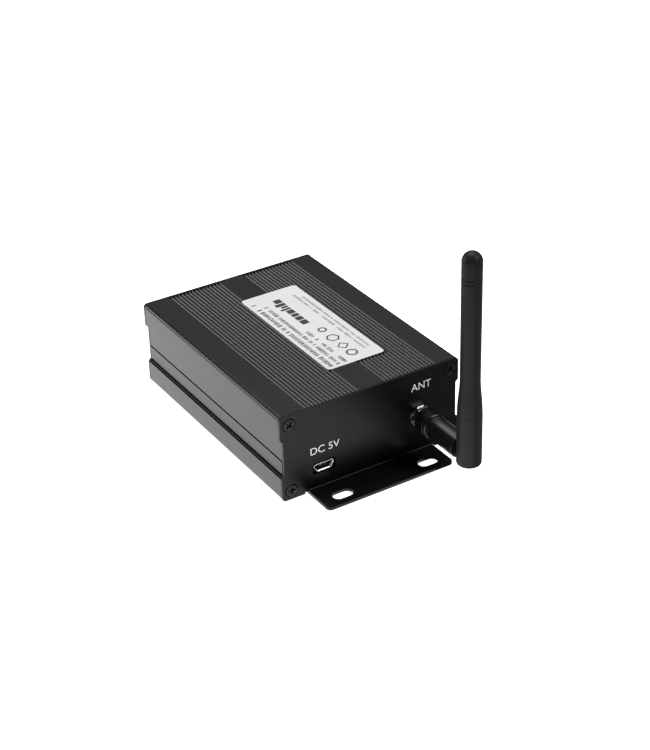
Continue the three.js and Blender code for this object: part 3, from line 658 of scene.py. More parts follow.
def screw_pattern():
    """Puts a copy of one screw on each point, all facing one way, each turned by chance."""
    pattern = Pattern("screws on points")
    screw = pattern.take("Screw", "Object")
    outward = pattern.take("Outward", "Vector", (0.0, -1.0, 0.0))
    seed = pattern.take("Seed", "Int", 3)
    model = pattern.node("GeometryNodeObjectInfo", {"transform_space": "ORIGINAL"}, {"Object": screw}, 4)
    twist = pattern.node("ShaderNodeCombineXYZ", {}, {2: pattern.chance(math.pi / 2, seed)})
    turns = {0: pattern.facing("Z", outward), 1: twist}
    rotation = pattern.node("FunctionNodeRotateRotation", {"rotation_space": "LOCAL"}, turns)
    return pattern.end(pattern.copies(pattern.base(), model, Rotation=rotation))


def ring_pattern():
    """Sets one small bar on each of a number of places round an axis along Y."""
    pattern = Pattern("bars round a ring")
    count = pattern.take("Count", "Int", 24)
    radius = pattern.take("Radius", "Float", 0.005)
    size = pattern.take("Bar", "Vector", (0.001, 0.001, 0.001))
    centre = pattern.take("Centre", "Vector")
    round_about = {"Vertices": count, "Radius": radius}
    circle = pattern.node("GeometryNodeMeshCircle", {"fill_type": "NONE"}, round_about)
    bar = pattern.node("GeometryNodeMeshCube", {}, {"Size": size})
    outward = pattern.facing("X", pattern.node("GeometryNodeInputPosition"))
    bars = pattern.copies(circle, bar, Rotation=outward)
    upright = {"Geometry": bars, "Translation": centre, "Rotation": (math.pi / 2, 0.0, 0.0)}
    placed = pattern.node("GeometryNodeTransform", {}, upright)
    both = pattern.node("GeometryNodeJoinGeometry", {}, {0: placed})
    pattern.tree.links.new(pattern.base().socket, both.socket.node.inputs[0])
    return pattern.end(both)


def print_pattern():
    """A row of small printed strokes with gaps between the words, none of them a letter."""
    pattern = Pattern("printed row")
    count = pattern.take("Strokes", "Int", 40)
    pitch = pattern.take("Pitch", "Float", 0.0012)
    size = pattern.take("Stroke", "Vector", (0.0015, 0.0008, 0.00003))
    start = pattern.take("Start", "Vector")
    gaps = pattern.take("Gaps", "Float", 0.16)
    seed = pattern.take("Seed", "Int", 1)
    step = pattern.node("ShaderNodeCombineXYZ", {}, {1: pitch})
    places = {"Count": count, "Start Location": start, "Offset": step}
    line = pattern.node("GeometryNodeMeshLine", {"mode": "OFFSET"}, places)
    left_out = {"Geometry": line, "Selection": pattern.chance(1.0, seed) < gaps}
    words = pattern.node("GeometryNodeDeleteGeometry", {"domain": "POINT"}, left_out)
    bar = pattern.node("GeometryNodeMeshCube", {}, {"Size": size})
    scales = {0: (0.62, 0.55, 1.0), 1: (1.0, 1.0, 1.0), "Seed": seed + 7}
    spread = pattern.node("FunctionNodeRandomValue", {"data_type": "FLOAT_VECTOR"}, scales)
    return pattern.end(pattern.copies(words, bar, Scale=spread))


# ------------------------------------------------------------------ settings


def setting(name, description, value, **limits):
    return bpy.props.FloatProperty(name=name, description=description, default=value, **limits)


def length_setting(name, description, millimetres):
    limits = {"min": 0.0, "precision": 5, "subtype": "DISTANCE", "unit": "LENGTH"}
    return setting(name, description, millimetres * MM, **limits)


def colour_setting(name, description, colour):
    limits = {"size": 3, "min": 0.0, "max": 1.0, "subtype": "COLOR"}
    return bpy.props.FloatVectorProperty(name=name, description=description, default=colour, **limits)


class ReceiverCaseSettings(bpy.types.PropertyGroup):
    rib_depth: length_setting("Rib depth", "Depth of the grooves between the cooling ribs", 0.55)
    rib_width: length_setting("Groove width", "Width of each groove at its mouth", 1.15)
    groove_floor: length_setting("Groove floor", "Width of each groove at its floor", 0.36)
    corner_radius: length_setting("Corner radius", "Radius of the long outer edges", 1.7)
    plate_edge: length_setting("Plate edge", "Radius of the edges of the folded plates", 0.14)
    case_colour: colour_setting("Case colour", "Colour of the anodised case", (0.013, 0.0131, 0.0135))
    plate_colour: colour_setting("Plate colour", "Colour of the folded end plates", (0.0012, 0.0012, 0.0013))


class ReceiverAntennaSettings(bpy.types.PropertyGroup):
    flutes: bpy.props.IntProperty(
        name="Flutes", description="Ridges round the coupling collar", default=48, min=8, max=96
    )
    flute_height: length_setting("Flute height", "Height of the ridges on the collar", 0.05)
    sleeve_colour: colour_setting("Sleeve colour", "Colour of the soft sleeve", (0.018, 0.0181, 0.0184))


class ReceiverPrintSettings(bpy.types.PropertyGroup):
    ink_thickness: length_setting("Ink thickness", "Height of the printing above its surface", 0.02)
    word_gaps: setting("Word gaps", "Share of strokes left out between words", 0.16, min=0, max=1)


class ReceiverStageSettings(bpy.types.PropertyGroup):
    floor_radius: setting("Floor radius", "Radius of the pale floor", 6.0, unit="LENGTH")
    key_light: setting("Key light", "Power of the large soft light overhead", 12.0, unit="POWER")
    strip_light: setting("Strip light", "Power of the low strip behind on the left", 5.3, unit="POWER")
    fill_light: setting("Fill light", "Power of the soft light high on the right", 9.0, unit="POWER")
    card_light: setting("Card light", "Power of the white card on the left of the floor", 0.48, unit="POWER")
    back_light: setting("Back light", "Power of the dim soft light behind on the right", 0.32, unit="POWER")
    room_light: setting("Room light", "Strength of the dim room around the stage", 0.03, min=0.0)


SETTINGS = {
    "receiver_case": ReceiverCaseSettings,
    "receiver_antenna": ReceiverAntennaSettings,
    "receiver_print": ReceiverPrintSettings,
    "receiver_stage": ReceiverStageSettings,
}


# ------------------------------------------------------------------ case

HALF_WIDTH = 40.0
CASE_HEIGHT = 36.4
CASE_END = 53.0
RECESS = 38.85  # half the width between the two side walls
BAND_TOP, LEDGE_TOP = 9.7, 10.85
SEAM_LEFT, SEAM_GAP, SEAM_TRAP = 17.1, 0.46, 0.5
UNDERCUT, UNDERCUT_TOP = 38.3, 11.05
SHELF, SHELF_END = 10.3, 39.3
NOTCH, NOTCH_END, LIP = 9.6, 39.7, 9.8
INNER_WALL, WALL_FACE = 36.6, 37.8
BOARD_TOP = 7.95
BOSS_TOP, BOSS_SIDE, BASE_TOP = 6.3, 33.6, 2.0
RIB_COUNT, RIB_PITCH = 15, 1.61
RIB_FIRST, RIB_SHIFT = 6.2, 0.5
TONGUE, TONGUE_SLACK = 1.1, 0.2
SCREW_SIDE, SCREW_HEIGHT, SCREW_BORE = 36, 3.9, 1.75


def rib_corners(case):
    """The grooves of one half of the case, from left to right along its underside."""
    depth = case.rib_depth / MM
    mouth = case.rib_width / MM / 2
    floor = case.groove_floor / MM / 2
    offsets = [RIB_FIRST + i * RIB_PITCH for i in range(RIB_COUNT)]
    corners = []
    for centre in sorted([-RIB_SHIFT - o for o in offsets] + [-RIB_SHIFT + o for o in offsets]):
        corners += [(centre - mouth, 0.0, 0.1), (centre - floor, depth, 0.08)]
        corners += [(centre + floor, depth, 0.08), (centre + mouth, 0.0, 0.1)]
    return corners


def half_case_outline(case):
    gap = SEAM_GAP / 2
    corner = case.corner_radius / MM
    seam_right = CASE_HEIGHT - SEAM_LEFT
    seam_trap = SEAM_LEFT - gap - SEAM_TRAP
    tongue_face = INNER_WALL + TONGUE
    rebate = tongue_face + TONGUE_SLACK
    card = BOARD_TOP + 0.2
    left_side = [
        (-RECESS, SEAM_LEFT - gap, 0.06),
        (-RECESS, UNDERCUT_TOP, 0.05),
        (-UNDERCUT, UNDERCUT_TOP, 0.0),
        (-UNDERCUT, SHELF, 0.05),
        (-SHELF_END, SHELF, 0.08),
        (-SHELF_END - 0.1, NOTCH, 0.0),
        (-NOTCH_END, NOTCH, 0.0),
        (-NOTCH_END - 0.06, LIP, 0.05),
        (-HALF_WIDTH, BAND_TOP, 0.12),
        (-HALF_WIDTH, 0.0, corner),
    ]
    right_side = [
        (HALF_WIDTH, 0.0, corner),
        (HALF_WIDTH, BAND_TOP, 0.3),
        (RECESS, LEDGE_TOP, 0.25),
        (RECESS, seam_right - gap, 0.18),
        (rebate, seam_right - gap, 0.08),
        (rebate, SEAM_LEFT, 0.08),
        (INNER_WALL, SEAM_LEFT, 0.08),
    ]
    inside = [
        (INNER_WALL, card, 0.1),
        (WALL_FACE, card, 0.1),
        (WALL_FACE, BOSS_TOP, 0.1),
        (BOSS_SIDE, BOSS_TOP, 1.8),
        (BOSS_SIDE, BASE_TOP, 0.2),
    ]
    inside += [(-across, up, radius) for across, up, radius in reversed(inside)]
    tongue = [
        (-INNER_WALL, seam_right, 0.08),
        (-tongue_face, seam_right, 0.08),
        (-tongue_face, seam_trap, 0.08),
        (-RECESS + 0.12, seam_trap, 0.0),
    ]
    return rounded_outline([*left_side, *rib_corners(case), *right_side, *inside, *tongue], steps=4)


def half_case(name):
    piece = extruded(name, half_case_outline(bpy.context.scene.receiver_case), -CASE_END, CASE_END)
    bores = [
        turned("bore", rod(SCREW_BORE, -60, 60), (x * MM, 0, SCREW_HEIGHT * MM), segments=28)
        for x in (-SCREW_SIDE, SCREW_SIDE)
    ]
    short_end = block("short end", (-41, -54, LEDGE_TOP - 0.4), (-INNER_WALL - TONGUE, -52.5, SEAM_LEFT))
    return flat_faces(smooth(boolean(piece, "DIFFERENCE", *bores, short_end), 28))


class RECEIVER_OT_case(bpy.types.Operator):
    """Build the two ribbed halves of the extruded case"""

    bl_idname = "receiver.case"
    bl_label = "Extruded case"

    def execute(self, context):
        lower = half_case("case_lower_half")
        upper = piece_from_mesh("case_upper_half", lower.data.copy())
        over = Matrix.Translation((0, 0, CASE_HEIGHT * MM)) @ Matrix.Rotation(math.pi, 4, "Y")
        upper.data.transform(over)
        dress(lower, "anodised_case", HOUSING, "lower_shell")
        dress(upper, "anodised_case", HOUSING, "upper_shell")
        return {"FINISHED"}


class RECEIVER_OT_end_plates(bpy.types.Operator):
    """Build the two folded end plates with their slotted feet"""

    bl_idname = "receiver.end_plates"
    bl_label = "Folded end plates"

    def execute(self, context):
        edge = context.scene.receiver_case.plate_edge / MM
        for node in ("front_plate", "rear_plate"):
            rounded_node(node, "coated_sheet", HOUSING, edge)
        return {"FINISHED"}


# ------------------------------------------------------------------ screws


def cross_screw(head, shank, length):
    """A countersunk screw with a cross recess, its head facing +Z at the origin."""
    cone = head - shank
    profile = [(0, -length), (shank - 0.35, -length), (shank, -length + 0.4), (shank, -cone - 0.1)]
    profile += [(head - 0.1, -0.2), (head, -0.12), (head - 0.02, -0.05), (head - 0.14, 0.0)]
    profile += [(head * 0.72, 0.03), (0, 0.04)]
    screw = turned("screw", profile, (0, 0, 0), axis="Z", segments=40)
    tools = []
    for across, along in ((0.6, 0.16), (0.16, 0.6)):
        x, y = head * across, head * along
        recess = extruded("recess", [(-x, -y), (x, -y), (x, y), (-x, y)], -0.95, 1.0, axis="Z")
        tools.append(soften(recess, 0.12))
    return soften(boolean(screw, "DIFFERENCE", *tools), 0.05, 1, angle=50)


def screws_at(name, nodes, screw, outward):
    """One piece with a screw on each of the places where the frame has one."""
    work = bmesh.new()
    for node in nodes:
        lowest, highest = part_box(node)
        face = highest.y if outward > 0 else lowest.y
        work.verts.new(((lowest.x + highest.x) / 2, face, (lowest.z + highest.z) / 2))
    values = {"Screw": screw, "Outward": (0.0, float(outward), 0.0), "Material": finish_for("black_screw")}
    return screw_pattern().grow(piece_from_work(name, work), Seed=5, **values)


class RECEIVER_OT_screws(bpy.types.Operator):
    """Place the countersunk screws of the end plates and the signal sockets"""

    bl_idname = "receiver.screws"
    bl_label = "Screws"

    def execute(self, context):
        large = cross_screw(2.5, 1.45, 9.0)
        small = cross_screw(2.4, 1.4, 8.0)
        groups = (
            ("front_plate_screws", "front_screw_", 4, large, -1),
            ("rear_plate_screws", "rear_screw_", 4, large, 1),
            ("input_socket_screws", "input_screw_", 2, small, 1),
            ("output_socket_screws", "output_screw_", 2, small, 1),
        )
        for name, stem, count, screw, outward in groups:
            nodes = [stem + str(i + 1) for i in range(count)]
            piece = screws_at(name, nodes, screw, outward)
            dress(piece, "black_screw", HOUSING, *nodes)
        discard(large, small)
        return {"FINISHED"}


# ------------------------------------------------------------------ label and legends


# [start x, start y, length, stroke height, stroke width, ink] of each printed row, in millimetres.
LABEL_ROWS = (
    (-3.9, -32.3, 60.0, 2.3, 0.9, "dark_ink"),
    (-0.6, -32.3, 56.0, 2.0, 0.8, "dark_ink"),
    (2.5, -32.3, 29.0, 1.9, 0.75, "dark_ink"),
    (14.3, -28.0, 54.0, 1.2, 0.5, "pale_ink"),
    (16.6, -28.0, 50.0, 1.2, 0.5, "pale_ink"),
)
# The height that most blocks of the heavy row reach to, its tall blocks, and the length of each block.
BLOCK_FOOT, BLOCK_TALL, TALL_BLOCKS = 7.6, (3.3, 4.6), (4, 6)
BLOCK_LENGTHS = (3.4, 3.0, 2.4, 3.2, 1.4, 1.4, 2.2, 3.2)
# [y, radius, sides] of each plain ring.
RING_MARKS = ((-28.0, 2.4, 32), (-21.6, 2.6, 4), (-14.2, 2.9, 6), (-6.4, 1.9, 32))


class RECEIVER_OT_label(bpy.types.Operator):
    """Lay the white label on the case and print its plain rows"""

    bl_idname = "receiver.label"
    bl_label = "Rating label"

    def execute(self, context):
        settings = context.scene.receiver_print
        ink = settings.ink_thickness
        top = high("top_label").z
        rounded_node("top_label", "label_stock", HOUSING, 0.05)
        pattern = print_pattern()
        rows = []
        for i, (x, y, length, tall, wide, paint) in enumerate(LABEL_ROWS):
            pitch = wide * 1.36
            row = pattern.grow(
                piece_from_mesh("row", bpy.data.meshes.new("row")),
                Strokes=round(length / pitch),
                Pitch=pitch * MM,
                Stroke=(tall * MM, wide * MM, ink),
                Start=(x * MM, y * MM, top + ink * 0.4),
                Gaps=settings.word_gaps,
                Seed=11 + i,
                Material=finish_for(paint),
            )
            rows.append(row)
        rows += self.plain_marks(top, ink)
        piece = join_pieces("label_printing", rows)
        dress(piece, None, HOUSING, slot="label_stock")
        return {"FINISHED"}

    @staticmethod
    def plain_marks(top, ink):
        """A heavy row of plain blocks and a few plain shapes where a label carries its marks."""
        marks = []
        y = 1.5
        for i, length in enumerate(BLOCK_LENGTHS):
            head = BLOCK_FOOT - BLOCK_TALL[i in TALL_BLOCKS]
            ends = [(head, y), (BLOCK_FOOT, y), (BLOCK_FOOT, y + length), (head, y + length)]
            outline = rounded_outline([(*corner, 0.5) for corner in ends])
            marks.append(extruded("mark", outline, (top - ink * 0.1) / MM, (top + ink * 0.9) / MM, axis="Z"))
            y += length + 0.55
        for y, radius, sides in RING_MARKS:
            section = [(radius - 0.7, 0.0), (radius, 0.0), (radius, ink / MM), (radius - 0.7, ink / MM)]
            marks.append(tube("ring", section, (8.4 * MM, y * MM, top - ink * 0.1), axis="Z", segments=sides))
        for mark in marks:
            mark.data.materials.append(finish_for("dark_ink"))
        return marks


def printed_word(name, word, left, right, bottom, top, face_y, ink):
    """A functional marking on the front plate, in plain capitals, as a thin closed mesh."""
    curve = bpy.data.curves.new(name, "FONT")
    curve.body = word
    curve.extrude = 0.5
    curve.resolution_u = 6
    writing = bpy.data.objects.new(name, curve)
    bpy.context.scene.collection.objects.link(writing)
    mesh = evaluated(writing)
    discard(writing)
    points = np.array([v.co for v in mesh.vertices])
    lowest, highest = points.min(0), points.max(0)
    across = (right - left) * MM / (highest[0] - lowest[0])
    up = (top - bottom) * MM / (highest[1] - lowest[1])
    thick = ink / (highest[2] - lowest[2])
    for vertex in mesh.vertices:
        x, y, z = vertex.co
        vertex.co = (
            left * MM + (x - lowest[0]) * across,
            face_y - (z - lowest[2]) * thick + ink * 0.1,
            bottom * MM + (y - lowest[1]) * up,
        )
    return piece_from_mesh(name, mesh)


class RECEIVER_OT_legends(bpy.types.Operator):
    """Print the plain functional markings on the front plate"""

    bl_idname = "receiver.legends"
    bl_label = "Port markings"

    def execute(self, context):
        ink = context.scene.receiver_print.ink_thickness * 1.5
        face = FACE * MM
        words = (
            ("legend_power", "DC 5V", -27.3, -14.5, 16.0, 19.05),
            ("legend_antenna", "ANT", 18.1, 27.2, 28.03, 31.13),
        )
        for name, word, left, right, bottom, top in words:
            piece = printed_word(name, word, left, right, bottom, top, face, ink)
            dress(piece, "white_ink", HOUSING, slot="coated_sheet")
        return {"FINISHED"}


# ------------------------------------------------------------------ power inlet


def inlet_outline(grow, depth):
    """The shell of the inlet, grown all round by millimetres, at one depth along Y."""
    lowest, highest = (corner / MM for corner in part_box("usb_shell"))
    centre = (lowest.x + highest.x) / 2
    wide = (highest.x - lowest.x) / 2 + grow
    narrow = wide - 1.3
    bottom, top = lowest.z - grow, highest.z + grow
    shoulder = highest.z - 1.0
    outline = rounded_outline(
        [
            (centre - narrow, bottom, 0.3),
            (centre + narrow, bottom, 0.3),
            (centre + wide, shoulder, 0.5),
            (centre + wide, top, 0.4),
            (centre - wide, top, 0.4),
            (centre - wide, shoulder, 0.5),
        ]
    )
    return [(x, depth, z) for x, z in outline]


def inlet_shell():
    """A pressed shell whose mouth flares outwards."""
    wall, flare, reach = 0.3, 0.3, 0.75
    mouth, back = low("usb_shell").y / MM, high("usb_shell").y / MM
    sections = (
        (0.0, back),
        (0.0, mouth + reach),
        (flare * 0.6, mouth + reach * 0.3),
        (flare, mouth),
        (flare - 0.06, mouth - 0.06),
        (flare - wall * 0.8, mouth),
        (-wall + flare * 0.4, mouth + reach * 0.3),
        (-wall, mouth + reach),
        (-wall, back),
    )
    return smooth(looped("usb_shell_finished", [inlet_outline(*section) for section in sections]), 60)


class RECEIVER_OT_power_inlet(bpy.types.Operator):
    """Finish the USB power inlet"""

    bl_idname = "receiver.power_inlet"
    bl_label = "Power inlet"

    def execute(self, context):
        dress(inlet_shell(), "nickel", HOUSING, "usb_shell")
        rounded_node("usb_insert", "black_plastic", HOUSING, 0.05)
        contacts = []
        tongue = low("usb_insert")
        for i in range(5):
            x = middle("usb_insert").x / MM + (i - 2) * 0.65
            front = tongue.y / MM + 0.9
            z = 8 + 1.45
            contacts.append(block("contact", (x - 0.16, front, z - 0.06), (x + 0.16, front + 3.4, z + 0.02)))
        piece = join_pieces("usb_contacts", contacts)
        dress(soften(piece, 0.02, 1), "gold", HOUSING)
        return {"FINISHED"}


# ------------------------------------------------------------------ antenna socket


AXIS = Vector((0.022, 0.0, 0.0164))
ACROSS, UP = AXIS.x / MM, AXIS.z / MM  # the same axis in millimetres
FACE = -54.2
PIVOT = FACE - 32  # the hinge of the antenna
COLLAR_NEAR, COLLAR_FAR, COLLAR_RADIUS, COLLAR_LIP = FACE - 3.2, FACE - 10.3, 5.1, 1.6
BARREL_NEAR, BARREL_FAR, BARREL_RADIUS = FACE - 10.6, FACE - 26.9, 4.73
TONGUE_HALF, TONGUE_REACH = 1.9, 3.6
KNUCKLE_RADIUS, KNUCKLE_TOP = 4.83, 34.0
TIP_RADIUS, TIP_TOP = 3.85, 99.65


def on_axis(y=0.0):
    """A place on the axis of the antenna socket, y being in millimetres."""
    return (AXIS.x, y * MM, AXIS.z)


def crosswise(name, profile, segments=32):
    """A turned piece about the hinge, from left to right."""
    return turned(name, profile, on_axis(PIVOT), axis="X", segments=segments)


class RECEIVER_OT_antenna_socket(bpy.types.Operator):
    """Build the threaded antenna socket with its washer and nut"""

    bl_idname = "receiver.antenna_socket"
    bl_label = "Antenna socket"

    def execute(self, context):
        rounded_node("panel_nut", "nickel", HOUSING, 0.16)
        rounded_node("antenna_jack", "gold", HOUSING, 0.08, 1)
        near, far = FACE - 0.05, FACE - 0.5
        washer = [(3.35, far), (4.35, far), (4.4, FACE - 0.3), (4.4, near), (3.35, near)]
        ring = ring_pattern().grow(
            tube("lock_washer_finished", washer, on_axis()),
            Count=14,
            Radius=0.00425,
            Bar=(0.0006, 0.0007, 0.0005),
            Centre=on_axis(FACE - 0.27),
            Material=finish_for("nickel"),
        )
        dress(ring, "nickel", HOUSING, "lock_washer")
        refinish("white_plastic", "jack_insulator")
        refinish("gold", "jack_contact")
        return {"FINISHED"}


# ------------------------------------------------------------------ antenna


class RECEIVER_OT_antenna(bpy.types.Operator):
    """Build the coupling collar, the barrel, the hinge and the stub antenna"""

    bl_idname = "receiver.antenna"
    bl_label = "Folding antenna"

    def execute(self, context):
        self.collar(context.scene.receiver_antenna)
        self.barrel()
        self.knuckle()
        self.sleeve()
        refinish("copper", "antenna_element")
        return {"FINISHED"}

    @staticmethod
    def collar(settings):
        near, far = COLLAR_NEAR, COLLAR_FAR
        rim = settings.flute_height / MM
        root = COLLAR_RADIUS - rim
        fluted = far + 1.95
        length = near - 0.5 - fluted
        loop = [(2.75, far), (4.55, far), (4.8, far + 0.12), (root, far + 0.45), (root, far + 1.5)]
        loop += [(4.85, far + 1.6), (4.85, far + 1.85), (root, fluted), (root, near - 0.5)]
        loop += [(4.8, near - 0.15), (4.55, near), (3.6, near), (3.5, near - 0.1)]
        loop += [(3.5, far + COLLAR_LIP), (2.75, far + COLLAR_LIP)]
        ring = ring_pattern().grow(
            tube("coupling_collar", loop, on_axis(), segments=96),
            Count=settings.flutes,
            Radius=root * MM,
            Bar=(rim * 1.6 * MM, 0.00034, length * MM),
            Centre=on_axis(fluted + length / 2),
            Material=finish_for("black_plastic"),
        )
        dress(smooth(ring), "black_plastic", COLLAR, "coupling_nut")

    @staticmethod
    def barrel():
        near, far, radius = BARREL_NEAR, BARREL_FAR, BARREL_RADIUS
        profile = [(0, far), (4.35, far), (4.6, far + 0.1), (radius, far + 0.35)]
        profile += [(radius, near - 1.1), (4.66, near - 1.04), (4.66, near - 0.9), (radius, near - 0.84)]
        profile += [(radius, near - 0.2), (4.6, near), (2.5, near), (2.5, near - 4.3), (0, near - 4.3)]
        body = turned("antenna_barrel_finished", profile, on_axis(), segments=96)
        root, tip = far + 1, PIVOT - TONGUE_REACH
        bottom, top = UP - TONGUE_REACH, UP + TONGUE_REACH
        corners = [(root, bottom, 0), (tip, bottom, 3.59), (tip, top, 3.59), (root, top, 0)]
        left, right = ACROSS - TONGUE_HALF, ACROSS + TONGUE_HALF
        tongue = extruded("tongue", rounded_outline(corners, steps=16), left, right, axis="X")
        boolean(body, "UNION", tongue)
        boolean(body, "DIFFERENCE", crosswise("hole", rod(0.97, -3, 3)))
        dress(soften(body, 0.12, 2, angle=50), "black_plastic", BARREL, "antenna_barrel")
        pin = [(0, -3.8), (0.75, -3.8), (0.9, -3.65), (0.9, 3.65), (0.75, 3.8), (0, 3.8)]
        dress(crosswise("hinge_pin_finished", pin), "nickel", BARREL, "hinge_pin")
        lip = COLLAR_FAR + COLLAR_LIP
        profile = [(0, near - 4), (2.1, near - 4), (2.2, near - 3.9), (2.2, lip + 0.15), (3.0, lip + 0.15)]
        profile += [(3.1, lip + 0.25), (3.1, lip + 0.65), (3.0, lip + 0.75), (0, lip + 0.75)]
        ferrule = turned("antenna_ferrule_finished", profile, on_axis(), segments=48)
        dress(ferrule, "nickel", BARREL, "antenna_ferrule")

    @staticmethod
    def knuckle():
        radius, top = KNUCKLE_RADIUS, KNUCKLE_TOP
        profile = [(0, 12.0), (3.9, 12.0), (4.35, 12.1), (4.65, 12.35), (radius, 12.9)]
        profile += [(radius, 31.0), (4.8, 31.08), (4.8, 31.25), (radius, 31.33), (4.8, 33.93)]
        profile += [(4.76, top), (2.6, top), (2.6, 43.0), (0, 43.0)]
        upright = (AXIS.x, PIVOT * MM, 0)
        body = turned("antenna_knuckle_finished", profile, upright, axis="Z", segments=96)
        slot = block("slot", (ACROSS - 2.1, PIVOT - 3.9, 11), (ACROSS + 2.1, PIVOT + 6, UP + 3.9))
        heel = block("heel", (ACROSS - 6, PIVOT, 11), (ACROSS + 6, PIVOT + 7, UP))
        boolean(heel, "DIFFERENCE", crosswise("keep", rod(4.6, -7, 7), segments=96))
        boolean(body, "DIFFERENCE", slot, heel, crosswise("hole", rod(0.96, -3.9, 3.9)))
        dress(soften(body, 0.14, 2, angle=45), "soft_sleeve", WHIP, "antenna_knuckle", slot="black_plastic")

    @staticmethod
    def sleeve():
        """A soft cover that narrows above the knuckle, with two fine rings and a round end."""
        root, taper_start, taper_end = 4.73, 34.7, 48.5
        profile = [(4.72, 34.1), (4.75, 34.16)]
        steps = 14
        for i in range(steps + 1):
            t = i / steps
            ease = t * t * (3 - 2 * t)
            profile.append((root + (TIP_RADIUS - root) * ease, taper_start + (taper_end - taper_start) * t))
        for height in (88.0, 89.5):
            groove = [(0, 0.32), (0.12, 0.24), (0.26, 0.14)]
            profile += [(TIP_RADIUS - depth, height - along) for depth, along in groove]
            profile += [(TIP_RADIUS - depth, height + along) for depth, along in reversed(groove)]
        for i in range(12):
            angle = math.pi / 2 * i / 12
            height = TIP_TOP - TIP_RADIUS + TIP_RADIUS * math.sin(angle)
            profile.append((TIP_RADIUS * math.cos(angle), height))
        bore = [(0, 93.0), (2.2, 93.0), (2.2, 43.3), (2.9, 43.3), (2.9, 34.1)]
        outline = [*bore, *profile, (0, TIP_TOP)]
        body = turned("antenna_sleeve_finished", outline, (AXIS.x, PIVOT * MM, 0), axis="Z", segments=96)
        dress(body, "soft_sleeve", WHIP, "antenna_sleeve")


# ------------------------------------------------------------------ rear end


class RECEIVER_OT_signal_sockets(bpy.types.Operator):
    """Finish the two round signal sockets at the rear"""

    bl_idname = "receiver.signal_sockets"
    bl_label = "Signal sockets"

    def execute(self, context):
        rounded_node("input_shell", "satin_nickel", HOUSING, 0.25, slot="nickel")
        rounded_node("output_shell", "satin_nickel", HOUSING, 0.25, slot="nickel")
        rounded_node("input_insert", "black_plastic", HOUSING, 0.1)
        rounded_node("output_insert", "black_plastic", HOUSING, 0.15)
        rounded_node("output_latch", "nickel", LATCH, 0.25)
        for i in (1, 2, 3):
            rounded_node(f"input_pin_{i}", "gold", HOUSING, 0.15)
            rounded_node(f"output_contact_{i}", "gold", HOUSING, 0.08, 1)
        return {"FINISHED"}


class RECEIVER_OT_button_and_lamp(bpy.types.Operator):
    """Finish the push button and the status lamp"""

    bl_idname = "receiver.button_and_lamp"
    bl_label = "Button and lamp"

    def execute(self, context):
        rounded_node("button_body", "black_plastic", HOUSING, 0.2)
        rounded_node("button_nut", "nickel", HOUSING, 0.16)
        rounded_node("button_cap", "soft_sleeve", BUTTON, 0.2, slot="black_plastic")
        rounded_node("led_bezel", "black_plastic", HOUSING, 0.15)
        rounded_node("status_led", "led_lens", HOUSING, 0.05, 1)
        return {"FINISHED"}


# ------------------------------------------------------------------ boards


class RECEIVER_OT_boards(bpy.types.Operator):
    """Finish the boards, their parts and the cables inside the case"""

    bl_idname = "receiver.boards"
    bl_label = "Boards and cables"

    def execute(self, context):
        refinish("board_black", "circuit_board")
        refinish("board_blue", "radio_board")
        refinish("white_plastic", "input_header", "output_header")
        refinish("grey_wire", "input_cable", "output_cable")
        refinish("black_plastic", "radio_header")
        for node, radius in (("microcontroller", 0.1), ("line_driver", 0.12), ("voltage_regulator", 0.12)):
            rounded_node(node, "epoxy", HOUSING, radius)
        for node, radius in (("crystal", 0.3), ("capacitor", 0.12), ("radio_shield", 0.12)):
            rounded_node(node, "tin", HOUSING, radius)
        self.chip_legs()
        return {"FINISHED"}

    @staticmethod
    def chip_legs():
        """Rows of flat tin legs along the sides of the chips."""
        legs = []
        for node, count in (("microcontroller", 12), ("line_driver", 4)):
            lowest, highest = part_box(node)
            length = (highest.y - lowest.y) / MM
            pitch = length / (count + 0.5)
            for side, x in ((-1, lowest.x / MM), (1, highest.x / MM)):
                for i in range(count):
                    y = lowest.y / MM + pitch * (i + 0.75)
                    reach = sorted((x - side * 0.1, x + side * 0.9))
                    z = lowest.z / MM
                    legs.append(block("leg", (reach[0], y - 0.13, z), (reach[1], y + 0.13, z + 0.15)))
        piece = join_pieces("chip_legs", legs)
        dress(piece, "tin", HOUSING)


# ------------------------------------------------------------------ stage


CAMERA_PLACE = Vector((-0.30243, -0.52114, 0.36963))
CAMERA_TARGET = Vector((0.006686, -0.01021, 0.0182))
CAMERA_ROLL = math.radians(-1.847)
CAMERA_LENS = 83.47
CARD_SIZE = (0.22, 0.45)
CARD_CENTRE = (-0.09, -0.05, -0.0003)
FLOOR_SIDES = 64


def soft_light(name, place, target, size, power):
    light = bpy.data.lights.new(name, "AREA")
    light.shape = "RECTANGLE"
    light.size, light.size_y = size
    light.energy = power
    light.spread = math.pi
    lamp = bpy.data.objects.new(name, light)
    bpy.context.scene.collection.objects.link(lamp)
    lamp.location = place
    lamp.rotation_euler = (Vector(target) - Vector(place)).to_track_quat("-Z", "Y").to_euler()
    lamp.visible_camera = False
    return lamp


